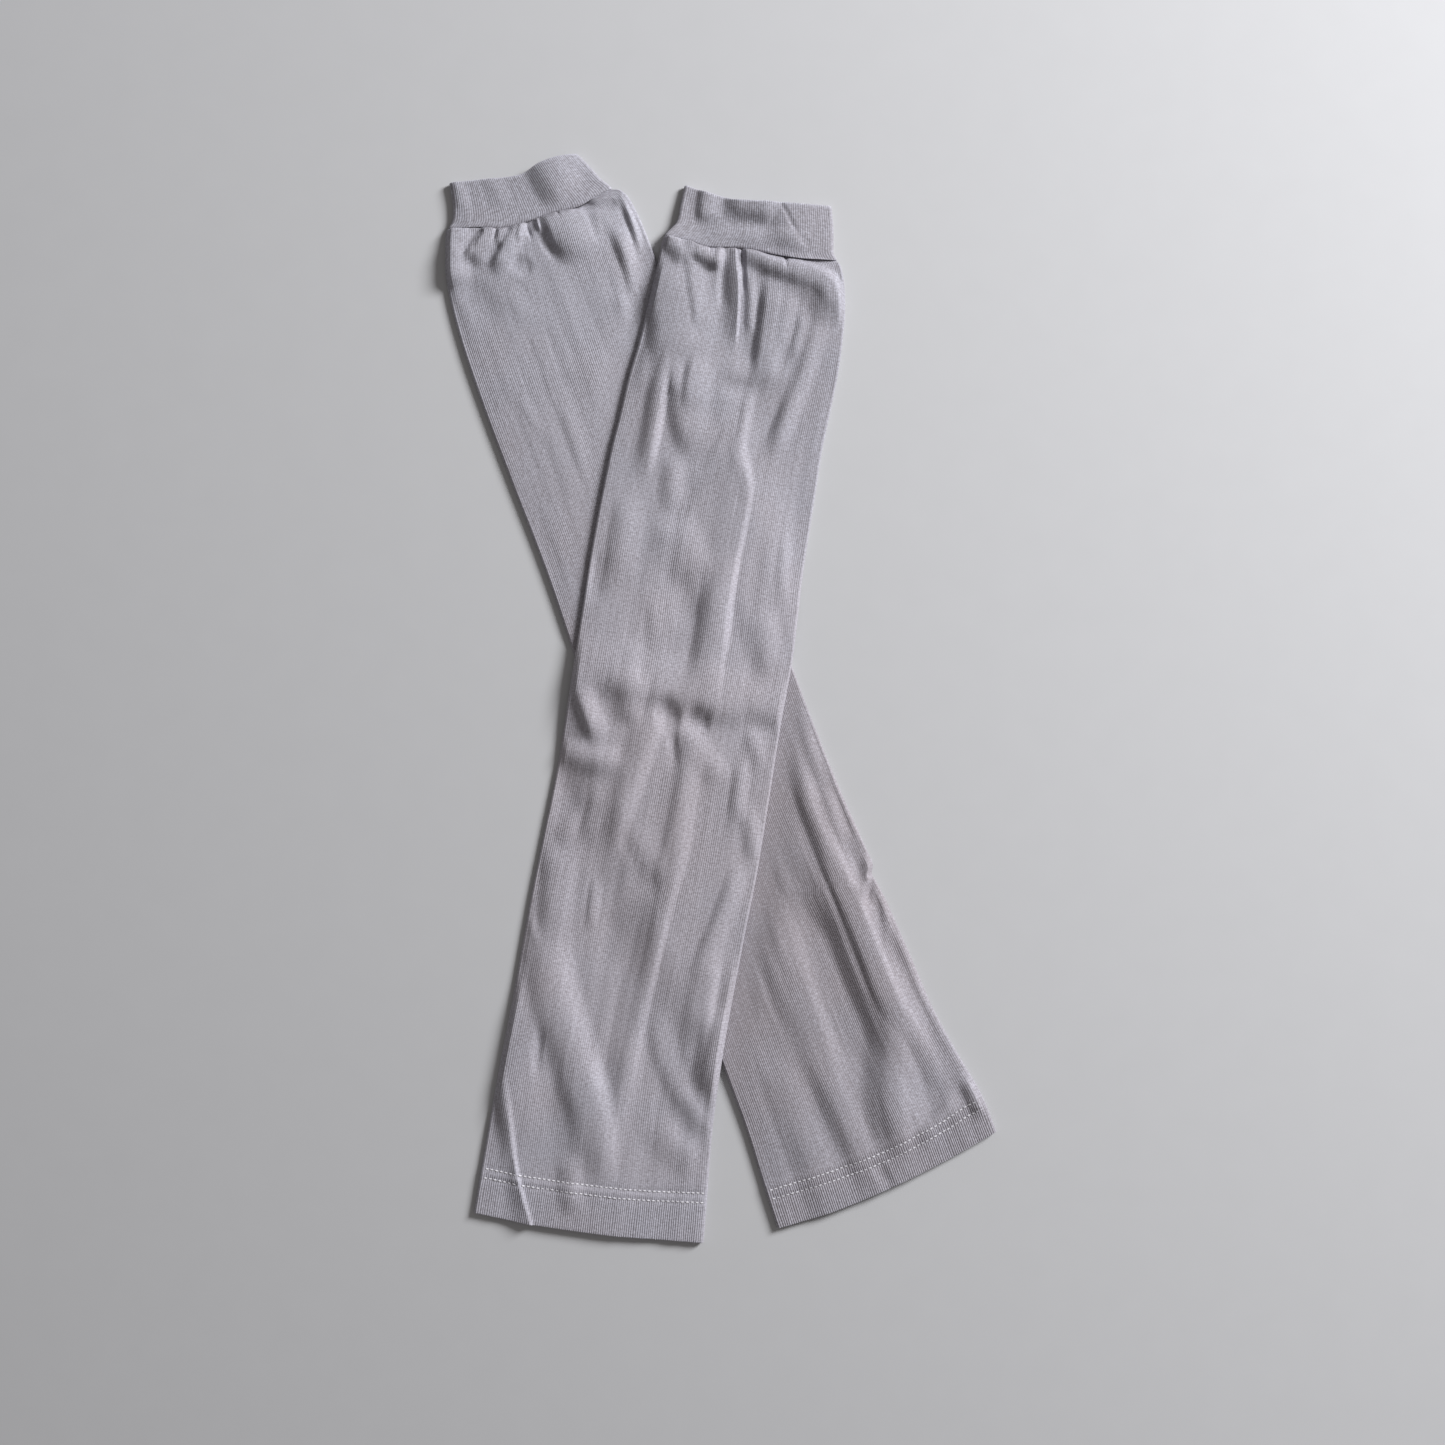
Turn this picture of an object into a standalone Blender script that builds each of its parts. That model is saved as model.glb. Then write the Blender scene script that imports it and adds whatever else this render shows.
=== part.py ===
# A pair of rib-knit arm sleeves, laid flat on a table and crossed.
# Each sleeve is a flattened tube, open at both ends: a long body with a turned-up
# hem, gathered into a short doubled cuff. The upper sleeve lies over the lower one.
# Sizes and tables are in millimetres; vertices are written in metres.

import math
from collections import namedtuple

import bmesh
import bpy

MM = 0.001

# Cloth
KNIT_WALL = 1.0            # one layer of rib knit
DOUBLE_WALL = 1.5          # two layers pressed together, at the hem and in the cuff
SLIT = 0.35                # least space between the upper and lower layer of a flat tube
SEAM_GAP = 0.3             # the body and its cuff stay this far apart
HEM_DEPTH = 22.0           # height of the turned-up hem
HEM_BLEND = 4.0            # the hem's extra thickness starts over this length
FOLD_LIMIT = 1.9           # the finer folds raise the outer face by no more than this
EDGE_FADE = 7.0            # folds die away this close to a side edge

# One sleeve over the other
REST_GAP = 0.4             # the upper sleeve clears the lower one by this much
LIFT_MARGIN = 13.0         # it is fully lifted out to here past the lower sleeve's edge
LIFT_FALL = 18.0           # and is back on the table after this much more
PRESS_MARGIN = 6.0         # the lower sleeve is pressed flat out to here past the upper's edge
PRESS_FALL = 18.0

# The seam's and the hem's curves fade into the straight rows over this length
END_BLEND = 60.0

# Points round one cross-section
TOP_COLUMNS = 40
FLOOR_COLUMNS = 8
SIDE_ANGLES = (-45.0, 0.0, 45.0)
INNER_TURN = 0.4           # radius of the inner slit's side

EndPoint = namedtuple("EndPoint", "share along")
Section = namedtuple("Section", "along left right crown")
CuffRow = namedtuple("CuffRow", "share left right")
Fold = namedtuple("Fold", "start end head_across mid_across tail_across left right rise head")
Crease = namedtuple("Crease", "left_along right_along from_across to_across above below rise")
Run = namedtuple("Run", "start end steps")
Sleeve = namedtuple(
    "Sleeve",
    "name x y angle length seam hem cuff_top sections cuff_rows swells folds creases",
)

# The lower sleeve runs from the top left to the bottom right.
# along: distance from the cuff seam down the arm. left, right: the side edges, from the
# sleeve's straight centre line. crown: how far the upper layer stands up at mid width.
UNDER = Sleeve(
    name="under_sleeve",
    x=-91.6,
    y=234.5,
    angle=20.2,
    length=500.0,
    seam=(
        EndPoint(0.00, -4.6), EndPoint(0.19, 0.4), EndPoint(0.30, 4.2), EndPoint(0.42, 5.6),
        EndPoint(0.65, 6.4), EndPoint(0.78, 7.4), EndPoint(0.88, 5.8), EndPoint(1.00, 4.6),
    ),
    hem=(
        EndPoint(0.00, 499.5), EndPoint(0.25, 501.0), EndPoint(0.50, 499.7),
        EndPoint(0.75, 496.8), EndPoint(1.00, 492.0),
    ),
    cuff_top=(
        EndPoint(0.00, -25.0), EndPoint(0.23, -21.3), EndPoint(0.53, -16.9),
        EndPoint(0.70, -18.5), EndPoint(0.87, -18.4), EndPoint(1.00, -16.9),
    ),
    sections=(
        Section(0.0, -41.0, 40.5, 0.3),
        Section(2.0, -42.0, 44.2, 1.0),
        Section(8.0, -44.5, 46.6, 2.0),
        Section(22.0, -49.5, 48.0, 2.4),
        Section(47.0, -52.8, 48.4, 1.8),
        Section(77.0, -53.8, 47.8, 0.9),
        Section(118.0, -53.5, 46.5, 0.5),
        Section(165.0, -52.8, 45.0, 0.3),
        Section(208.0, -53.8, 43.4, 0.2),
        Section(250.0, -54.2, 42.3, 0.3),
        Section(302.0, -54.4, 42.7, 0.6),
        Section(350.0, -54.6, 46.2, 0.8),
        Section(398.0, -54.8, 47.6, 0.9),
        Section(425.0, -54.9, 49.0, 0.9),
        Section(450.0, -55.0, 52.5, 0.8),
        Section(478.0, -56.4, 56.6, 0.5),
        Section(500.0, -57.3, 57.3, 0.4),
    ),
    cuff_rows=(
        CuffRow(0.00, -40.5, 40.5),
        CuffRow(0.10, -37.4, 39.6),
        CuffRow(0.30, -35.2, 36.9),
        CuffRow(0.60, -33.4, 34.3),
        CuffRow(1.00, -32.0, 30.5),
    ),
    swells=(
        # cuff: its right half stands up behind a dip
        Fold(-26.0, 6.0, 16.0, 17.0, 18.0, 13.0, 14.0, 1.5, 1.0),
        Fold(-22.0, 2.0, -4.0, -7.0, -10.0, 12.0, 8.0, 0.8, 0.6),
        # long ridge down the right side to the hem, with the valley on its left
        Fold(268.0, 494.0, 26.0, 33.0, 27.0, 13.0, 8.0, 2.2, 0.0),
        Fold(310.0, 499.0, 5.0, 1.0, -5.0, 13.0, 12.0, 1.4, 0.0),
        Fold(415.0, 499.0, -24.0, -25.0, -23.0, 10.0, 9.0, 1.0, 0.0),
    ),
    folds=(
        # gathers that run down from the cuff seam
        Fold(0.0, 26.0, -29.0, -33.0, -40.0, 4.5, 4.0, 1.1, 0.7),
        Fold(0.0, 30.0, -19.0, -25.0, -31.0, 4.5, 4.0, 1.3, 0.7),
        Fold(0.0, 34.0, -12.5, -15.0, -20.0, 4.5, 4.5, 1.7, 0.8),
        Fold(0.0, 20.0, -3.0, -4.0, -5.0, 3.5, 4.0, 1.4, 0.9),
        Fold(0.0, 27.0, 3.0, 1.5, 0.0, 4.5, 3.0, 1.8, 0.9),
        Fold(0.0, 38.0, 9.5, 10.0, 14.0, 3.5, 6.5, 2.0, 0.9),
        Fold(0.0, 40.0, 19.0, 21.0, 25.0, 5.5, 6.0, 1.2, 0.6),
        Fold(4.0, 66.0, 38.5, 38.0, 34.0, 4.0, 3.0, 1.6, 0.3),
        Fold(2.0, 64.0, 30.0, 30.0, 26.0, 5.0, 3.5, 1.2, 0.3),
        # softer lengthwise folds below them
        Fold(44.0, 110.0, -30.0, -33.0, -36.0, 8.0, 8.0, 0.9, 0.0),
        Fold(40.0, 104.0, -6.0, -10.0, -12.0, 9.0, 8.0, 0.9, 0.0),
        Fold(88.0, 150.0, -16.0, -16.0, -17.0, 5.0, 8.0, 0.9, 0.0),
        Fold(90.0, 148.0, -27.0, -28.0, -29.0, 7.0, 5.0, 0.7, 0.0),
        # ridges of the lower end
        Fold(340.0, 486.0, 30.0, 34.0, 38.0, 4.5, 4.0, 1.3, 0.0),
        Fold(340.0, 500.0, 17.0, 18.0, 12.0, 3.5, 4.0, 0.9, 0.0),
        Fold(425.0, 492.0, 30.0, 28.0, 23.0, 5.0, 4.0, 1.0, 0.0),
        Fold(352.0, 372.0, 44.0, 40.0, 35.0, 4.0, 4.0, 1.2, 0.5),
        Fold(462.0, 496.0, 50.0, 53.0, 55.0, 5.0, 3.0, 1.4, 0.0),
    ),
    creases=(
        Crease(24.0, 34.0, -48.0, -10.0, 7.0, 8.0, 1.0),
        Crease(58.0, 66.0, -50.0, 44.0, 9.0, 10.0, 0.6),
    ),
)

# The upper sleeve runs from the top right to the bottom left, over the other.
OVER = Sleeve(
    name="over_sleeve",
    x=14.2,
    y=215.3,
    angle=-9.4,
    length=477.0,
    seam=(
        EndPoint(0.00, 1.1), EndPoint(0.15, 1.4), EndPoint(0.22, 2.8), EndPoint(0.30, 2.3),
        EndPoint(0.44, 0.8), EndPoint(0.67, 1.0), EndPoint(0.80, 0.8), EndPoint(1.00, -1.2),
    ),
    hem=(
        EndPoint(0.00, 477.2), EndPoint(0.26, 478.2), EndPoint(0.61, 477.2),
        EndPoint(0.78, 475.6), EndPoint(1.00, 473.5),
    ),
    cuff_top=(
        EndPoint(0.00, -25.2), EndPoint(0.11, -23.6), EndPoint(0.25, -22.3),
        EndPoint(0.36, -21.6), EndPoint(0.66, -24.1), EndPoint(0.80, -25.2),
        EndPoint(1.00, -26.6),
    ),
    sections=(
        Section(0.0, -42.0, 42.3, 0.3),
        Section(2.0, -42.2, 43.8, 1.0),
        Section(8.0, -42.4, 46.3, 1.9),
        Section(19.0, -43.0, 48.9, 2.2),
        Section(31.0, -43.8, 50.3, 2.0),
        Section(51.0, -45.2, 51.1, 1.5),
        Section(71.0, -47.6, 50.4, 1.1),
        Section(91.0, -48.9, 49.5, 0.9),
        Section(106.0, -50.2, 49.7, 0.8),
        Section(150.0, -51.5, 50.1, 0.7),
        Section(190.0, -51.2, 51.8, 0.7),
        Section(225.0, -50.9, 51.4, 0.8),
        Section(259.0, -50.8, 51.7, 0.8),
        Section(293.0, -52.1, 51.8, 0.7),
        Section(325.0, -53.2, 50.8, 0.7),
        Section(369.0, -53.8, 49.9, 0.8),
        Section(403.0, -54.7, 50.2, 0.8),
        Section(425.0, -55.0, 51.2, 0.7),
        Section(454.0, -55.3, 53.6, 0.5),
        Section(477.0, -55.4, 55.4, 0.4),
    ),
    cuff_rows=(
        CuffRow(0.00, -42.0, 42.0),
        CuffRow(0.12, -39.9, 39.6),
        CuffRow(0.30, -37.0, 38.8),
        CuffRow(0.60, -36.7, 37.4),
        CuffRow(1.00, -36.2, 34.8),
    ),
    swells=(
        # cuff: two ridges with a dip between them
        Fold(-27.0, 4.0, 14.0, 14.0, 20.0, 22.0, 16.0, 1.4, 1.0),
        Fold(-27.0, 0.0, -27.0, -24.0, -21.0, 7.0, 8.0, 0.9, 1.0),
        # long ridges down the middle, dark on their left
        Fold(78.0, 226.0, 13.0, 19.0, 21.0, 9.0, 12.0, 1.6, 0.0),
        Fold(226.0, 470.0, 15.0, 15.0, 7.0, 9.0, 12.0, 1.6, 0.3),
        # the broad folds that meet the hem on the left
        Fold(322.0, 450.0, -33.0, -18.0, 4.0, 13.0, 14.0, 1.9, 0.0),
        Fold(150.0, 226.0, -30.0, -33.0, -36.0, 14.0, 14.0, 0.9, 0.0),
    ),
    folds=(
        # gathers and the one sharp pleat under the cuff seam
        Fold(0.0, 22.0, -35.0, -31.5, -27.0, 4.0, 3.0, 1.2, 0.8),
        Fold(0.0, 46.0, -23.5, -21.0, -17.0, 3.5, 3.5, 1.3, 0.8),
        Fold(0.0, 26.0, -16.0, -12.5, -10.0, 4.0, 3.5, 1.5, 0.8),
        Fold(0.0, 52.0, -4.5, -1.8, 1.5, 7.0, 2.4, 2.0, 1.0),
        Fold(0.0, 30.0, 0.5, 3.5, 15.0, 3.0, 3.0, 1.4, 0.9),
        Fold(0.0, 17.0, 12.5, 13.0, 14.0, 4.5, 4.0, 1.2, 0.9),
        Fold(0.0, 18.0, 23.0, 24.0, 30.0, 4.5, 5.0, 1.4, 0.9),
        Fold(14.0, 60.0, 16.0, 15.0, 15.0, 6.0, 9.0, 1.0, 0.0),
        Fold(6.0, 46.0, 40.0, 43.5, 44.0, 5.0, 4.0, 1.3, 0.4),
        Fold(30.0, 92.0, 38.0, 37.0, 30.0, 5.0, 6.0, 1.0, 0.0),
        # shorter folds of the upper half
        Fold(54.0, 120.0, -29.0, -28.0, -31.0, 5.0, 4.0, 1.2, 0.0),
        Fold(60.0, 104.0, -18.0, -13.0, -8.0, 7.0, 7.0, 0.9, 0.0),
        Fold(84.0, 134.0, 7.0, -2.0, -16.0, 5.0, 6.0, 0.8, 0.0),
        Fold(60.0, 102.0, 34.0, 31.0, 28.0, 5.0, 5.0, 0.9, 0.0),
        # folds of the lower half
        Fold(232.0, 302.0, -2.0, -6.0, -16.0, 7.0, 6.0, 1.0, 0.0),
        Fold(244.0, 372.0, 19.0, 18.0, 11.0, 5.5, 5.0, 1.2, 0.2),
        Fold(340.0, 440.0, 11.0, 10.0, 7.0, 4.5, 5.0, 0.9, 0.0),
        Fold(352.0, 412.0, 39.0, 37.0, 35.0, 5.0, 6.0, 1.0, 0.0),
        Fold(404.0, 477.0, -51.0, -42.0, -26.0, 4.5, 3.5, 1.8, 0.0),
        Fold(350.0, 440.0, -27.0, -19.0, -6.0, 6.0, 8.0, 1.0, 0.0),
    ),
    creases=(
        Crease(69.0, 55.0, -44.0, 52.0, 8.0, 7.0, 0.9),
        Crease(215.0, 220.0, -52.0, 52.0, 9.0, 6.0, 1.3),
        Crease(238.0, 255.0, -52.0, -26.0, 7.0, 6.0, 1.0),
    ),
)

# Rows of the outer face and of the plainer inner face, from the seam to the hem.
# The last two runs end at the hem line and at the edge; each is a share of the length.
OUTER_RUNS = (
    Run(0.000, 0.024, 4), Run(0.024, 0.094, 5), Run(0.094, 0.948, 26), Run(0.948, 1.0, 4),
)
INNER_RUNS = (
    Run(0.000, 0.024, 2), Run(0.024, 0.094, 3), Run(0.094, 0.948, 26), Run(0.948, 1.0, 4),
)
CUFF_OUTER_ROWS = 6
CUFF_INNER_ROWS = 4


def smooth_step(value):
    value = min(max(value, 0.0), 1.0)
    return value * value * (3.0 - 2.0 * value)


def curve_value(points, place):
    """Read a smooth curve through (place, value) pairs, held flat past its ends."""
    if place <= points[0][0]:
        return points[0][1]
    if place >= points[-1][0]:
        return points[-1][1]
    last = len(points) - 1
    index = next(i for i in range(last) if place <= points[i + 1][0])
    start, start_value = points[index]
    end, end_value = points[index + 1]
    before = points[max(index - 1, 0)]
    after = points[min(index + 2, last)]
    span = end - start
    start_slope = (end_value - before[1]) / (end - before[0])
    end_slope = (after[1] - start_value) / (after[0] - start)
    part = (place - start) / span
    part_2 = part * part
    part_3 = part_2 * part
    return (
        (2.0 * part_3 - 3.0 * part_2 + 1.0) * start_value
        + (part_3 - 2.0 * part_2 + part) * span * start_slope
        + (3.0 * part_2 - 2.0 * part_3) * end_value
        + (part_3 - part_2) * span * end_slope
    )


def side_edges(sleeve, along):
    left = curve_value([(row.along, row.left) for row in sleeve.sections], along)
    right = curve_value([(row.along, row.right) for row in sleeve.sections], along)
    return left, right


def bump(distance, left, right):
    """A soft ridge across: 1 on its crest, 0 past its left and right widths."""
    part = distance / (left if distance < 0.0 else right)
    if abs(part) >= 1.0:
        return 0.0
    return (1.0 - part * part) ** 2


def fold_height(fold, along, across):
    span = fold.end - fold.start
    part = (along - fold.start) / span
    if part < 0.0 or part > 1.0:
        return 0.0
    crest = (
        fold.head_across * (1.0 - part) * (1.0 - 2.0 * part)
        + fold.mid_across * 4.0 * part * (1.0 - part)
        + fold.tail_across * part * (2.0 * part - 1.0)
    )
    rise_in = fold.head + (1.0 - fold.head) * smooth_step(part / 0.3)
    die_out = smooth_step((1.0 - part) / 0.4)
    return fold.rise * rise_in * die_out * bump(across - crest, fold.left, fold.right)


def crease_height(crease, along, across):
    part = (across - crease.from_across) / (crease.to_across - crease.from_across)
    if part < 0.0 or part > 1.0:
        return 0.0
    centre = crease.left_along + (crease.right_along - crease.left_along) * part
    fade = smooth_step(part / 0.15) * smooth_step((1.0 - part) / 0.15)
    return crease.rise * fade * bump(along - centre, crease.above, crease.below)


def to_table(sleeve, along, across):
    """A sleeve's own (along, across) as (x, y) on the table."""
    angle = math.radians(sleeve.angle)
    x = sleeve.x + along * math.sin(angle) + across * math.cos(angle)
    y = sleeve.y - along * math.cos(angle) + across * math.sin(angle)
    return x, y


def from_table(sleeve, x, y):
    angle = math.radians(sleeve.angle)
    dx = x - sleeve.x
    dy = y - sleeve.y
    along = dx * math.sin(angle) - dy * math.cos(angle)
    across = dx * math.cos(angle) + dy * math.sin(angle)
    return along, across


def distance_outside(sleeve, x, y):
    """How far a table point is past a sleeve's outline; negative over the sleeve."""
    along, across = from_table(sleeve, x, y)
    left, right = side_edges(sleeve, along)
    cuff_end = sleeve.cuff_top[0].along
    return max(left - across, across - right, cuff_end - along, along - sleeve.length)


def wall_at(sleeve, along):
    """Wall thickness at a row: the turned-up hem is thicker."""
    hem_line = sleeve.length - HEM_DEPTH
    hem = smooth_step((along - hem_line) / HEM_BLEND + 0.5)
    return KNIT_WALL + (DOUBLE_WALL - KNIT_WALL) * hem


def floor_height(sleeve, x, y):
    """Height of the underside: 0 on the table, lifted where it crosses the lower sleeve."""
    if sleeve is UNDER:
        return 0.0
    lift = 2.0 * KNIT_WALL + SLIT + REST_GAP
    return lift * (1.0 - smooth_step((distance_outside(UNDER, x, y) - LIFT_MARGIN) / LIFT_FALL))


def freedom(sleeve, x, y):
    """1 where the upper layer is free to fold, 0 where the other sleeve presses it flat."""
    if sleeve is OVER:
        return 1.0
    return smooth_step((distance_outside(OVER, x, y) - PRESS_MARGIN) / PRESS_FALL)


def swell_height(sleeve, along, across, share, crown):
    """Broad forms that both faces of the upper layer follow."""
    height = crown * (1.0 - abs(2.0 * share - 1.0) ** 3)
    height += sum(fold_height(fold, along, across) for fold in sleeve.swells)
    return height


def fine_height(sleeve, along, across):
    """Finer folds, raised in the outer face over the plain inside."""
    height = sum(fold_height(fold, along, across) for fold in sleeve.folds)
    height += sum(crease_height(crease, along, across) for crease in sleeve.creases)
    return min(height, FOLD_LIMIT)


def ring(sleeve, row, outer):
    """Points of one cross-section, from the lower left round to the upper left.

    row holds its side edges, wall, crown, a station for the tables and a function that
    gives the distance along the sleeve at a share of the width.
    """
    wall = row["wall"]
    left, right = row["left"], row["right"]
    thin = 2.0 * wall + SLIT
    turn = 0.5 * thin if outer else INNER_TURN
    inset = 0.0 if outer else wall
    first = left + inset + turn
    last = right - inset - turn
    low = 0.0 if outer else wall
    high = thin if outer else thin - wall

    def place(across, height):
        share = (across - left) / (right - left)
        along = row["along"](share)
        x, y = to_table(sleeve, along, across)
        return x, y, floor_height(sleeve, x, y) + height

    def top(across):
        share = (across - left) / (right - left)
        along = row["along"](share)
        x, y = to_table(sleeve, along, across)
        near_edge = smooth_step(min(across - left, right - across) / EDGE_FADE)
        rise = swell_height(sleeve, along, across, share, row["crown"])
        if outer:
            rise += fine_height(sleeve, along, across)
        return place(across, high + rise * near_edge * freedom(sleeve, x, y))

    def side(edge, outward, angle):
        reach = turn * math.cos(math.radians(angle))
        middle = 0.5 * (low + high)
        half = 0.5 * (high - low)
        return place(edge + outward * reach, middle + half * math.sin(math.radians(angle)))

    points = []
    for step in range(FLOOR_COLUMNS):
        points.append(place(first + (last - first) * step / (FLOOR_COLUMNS - 1), low))
    points += [side(last, 1.0, angle) for angle in SIDE_ANGLES]
    for step in range(TOP_COLUMNS):
        points.append(top(last + (first - last) * step / (TOP_COLUMNS - 1)))
    points += [side(first, -1.0, angle) for angle in reversed(SIDE_ANGLES)]
    return points


def body_row(sleeve, station):
    """One row of the body. Its ends follow the seam's and the hem's own curves."""
    left, right = side_edges(sleeve, station)
    near_seam = 1.0 - smooth_step(station / END_BLEND)
    near_hem = smooth_step(1.0 - (sleeve.length - station) / END_BLEND)

    def along(share):
        seam = curve_value(sleeve.seam, share) + 0.5 * SEAM_GAP
        hem = curve_value(sleeve.hem, share) - sleeve.length
        return station + seam * near_seam + hem * near_hem

    return {
        "left": left,
        "right": right,
        "wall": wall_at(sleeve, station),
        "crown": curve_value([(row.along, row.crown) for row in sleeve.sections], station),
        "along": along,
    }


def cuff_row(sleeve, part):
    """One row of the cuff: part is 0 at the seam and 1 at the folded free edge."""
    left = curve_value([(row.share, row.left) for row in sleeve.cuff_rows], part)
    right = curve_value([(row.share, row.right) for row in sleeve.cuff_rows], part)

    def along(share):
        seam = curve_value(sleeve.seam, share) - 0.5 * SEAM_GAP
        top = curve_value(sleeve.cuff_top, share)
        return seam + (top - seam) * part

    return {"left": left, "right": right, "wall": DOUBLE_WALL, "crown": 0.3, "along": along}


def stations(runs, length):
    """Row places along the body, from runs of evenly spaced rows."""
    places = [runs[0].start * length]
    for run in runs:
        for step in range(1, run.steps + 1):
            places.append((run.start + (run.end - run.start) * step / run.steps) * length)
    return places


def tube_mesh(name, outer_rings, inner_rings):
    """Close outer and inner rings into one wall with an open hollow through it.

    The grid has one column for each point round the tube and one row for each ring, down
    the outside and back up the inside. Its first and last lines coincide and are merged.
    """
    rings = outer_rings + inner_rings[::-1]
    rings.append(rings[0])
    around = len(rings[0])
    mesh = bmesh.new()
    bmesh.ops.create_grid(mesh, x_segments=around, y_segments=len(rings) - 1, size=1.0)
    mesh.verts.ensure_lookup_table()
    for index, vert in enumerate(mesh.verts):
        row, column = divmod(index, around + 1)
        point = rings[row][column % around]
        vert.co = [value * MM for value in point]
    bmesh.ops.remove_doubles(mesh, verts=mesh.verts[:], dist=0.5e-6)
    bmesh.ops.recalc_face_normals(mesh, faces=mesh.faces[:])
    bmesh.ops.triangulate(mesh, faces=mesh.faces[:])
    data = bpy.data.meshes.new(name)
    mesh.to_mesh(data)
    mesh.free()
    data.shade_smooth()
    return data


def knit_material(name, color, roughness):
    material = bpy.data.materials.new(name)
    material.use_nodes = True
    shader = material.node_tree.nodes["Principled BSDF"]
    shader.inputs["Base Color"].default_value = (*color, 1.0)
    shader.inputs["Roughness"].default_value = roughness
    shader.inputs["Metallic"].default_value = 0.0
    return material


def add_piece(name, mesh, material):
    piece = bpy.data.objects.new(name, mesh)
    mesh.materials.append(material)
    bpy.context.scene.collection.objects.link(piece)
    return piece


def add_body(sleeve, material):
    outer = [ring(sleeve, body_row(sleeve, place), True)
             for place in stations(OUTER_RUNS, sleeve.length)]
    inner = [ring(sleeve, body_row(sleeve, place), False)
             for place in stations(INNER_RUNS, sleeve.length)]
    name = sleeve.name + "_body"
    return add_piece(name, tube_mesh(name, outer, inner), material)


def add_cuff(sleeve, material):
    outer = [ring(sleeve, cuff_row(sleeve, step / (CUFF_OUTER_ROWS - 1)), True)
             for step in range(CUFF_OUTER_ROWS)]
    inner = [ring(sleeve, cuff_row(sleeve, step / (CUFF_INNER_ROWS - 1)), False)
             for step in range(CUFF_INNER_ROWS)]
    name = sleeve.name + "_cuff"
    return add_piece(name, tube_mesh(name, outer, inner), material)


def build():
    for piece in list(bpy.data.objects):
        bpy.data.objects.remove(piece)
    for sleeve in (UNDER, OVER):
        body_knit = knit_material(sleeve.name + "_body_rib", (0.330, 0.318, 0.352), 0.85)
        cuff_knit = knit_material(sleeve.name + "_cuff_rib", (0.345, 0.333, 0.365), 0.85)
        add_body(sleeve, body_knit)
        add_cuff(sleeve, cuff_knit)


build()
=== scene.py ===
import math
from collections import namedtuple

import bmesh
import bpy
import numpy as np
from mathutils import Matrix, Vector
from mathutils.bvhtree import BVHTree


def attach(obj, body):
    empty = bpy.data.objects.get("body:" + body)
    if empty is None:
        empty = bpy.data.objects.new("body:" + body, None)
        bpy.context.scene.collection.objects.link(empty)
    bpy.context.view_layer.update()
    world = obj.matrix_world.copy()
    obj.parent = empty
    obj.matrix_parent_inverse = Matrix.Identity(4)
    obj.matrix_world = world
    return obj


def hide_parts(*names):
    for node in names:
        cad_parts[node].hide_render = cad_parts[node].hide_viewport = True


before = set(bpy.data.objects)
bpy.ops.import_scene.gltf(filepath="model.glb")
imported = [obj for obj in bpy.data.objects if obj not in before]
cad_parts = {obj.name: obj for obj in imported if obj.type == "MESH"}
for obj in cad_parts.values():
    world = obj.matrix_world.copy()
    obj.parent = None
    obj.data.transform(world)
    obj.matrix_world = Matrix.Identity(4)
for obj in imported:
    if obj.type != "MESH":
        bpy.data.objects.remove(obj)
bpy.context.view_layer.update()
mm = 0.001
print("frame loaded")

# A crease is a soft ridge (rise above 0) or trough (below 0) along a line of points, each
# (along, across). before, after: its width towards the left edge and the right edge, or, for
# one that runs across, towards the cuff and the hem. head, tail: how strong it starts and
# ends, 0 to 1. sharp: 0 for a round crest, 1 for a pressed one.
Crease = namedtuple("Crease", "rise before after points head tail sharp", defaults=(0.0, 0.0, 0.0))

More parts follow.
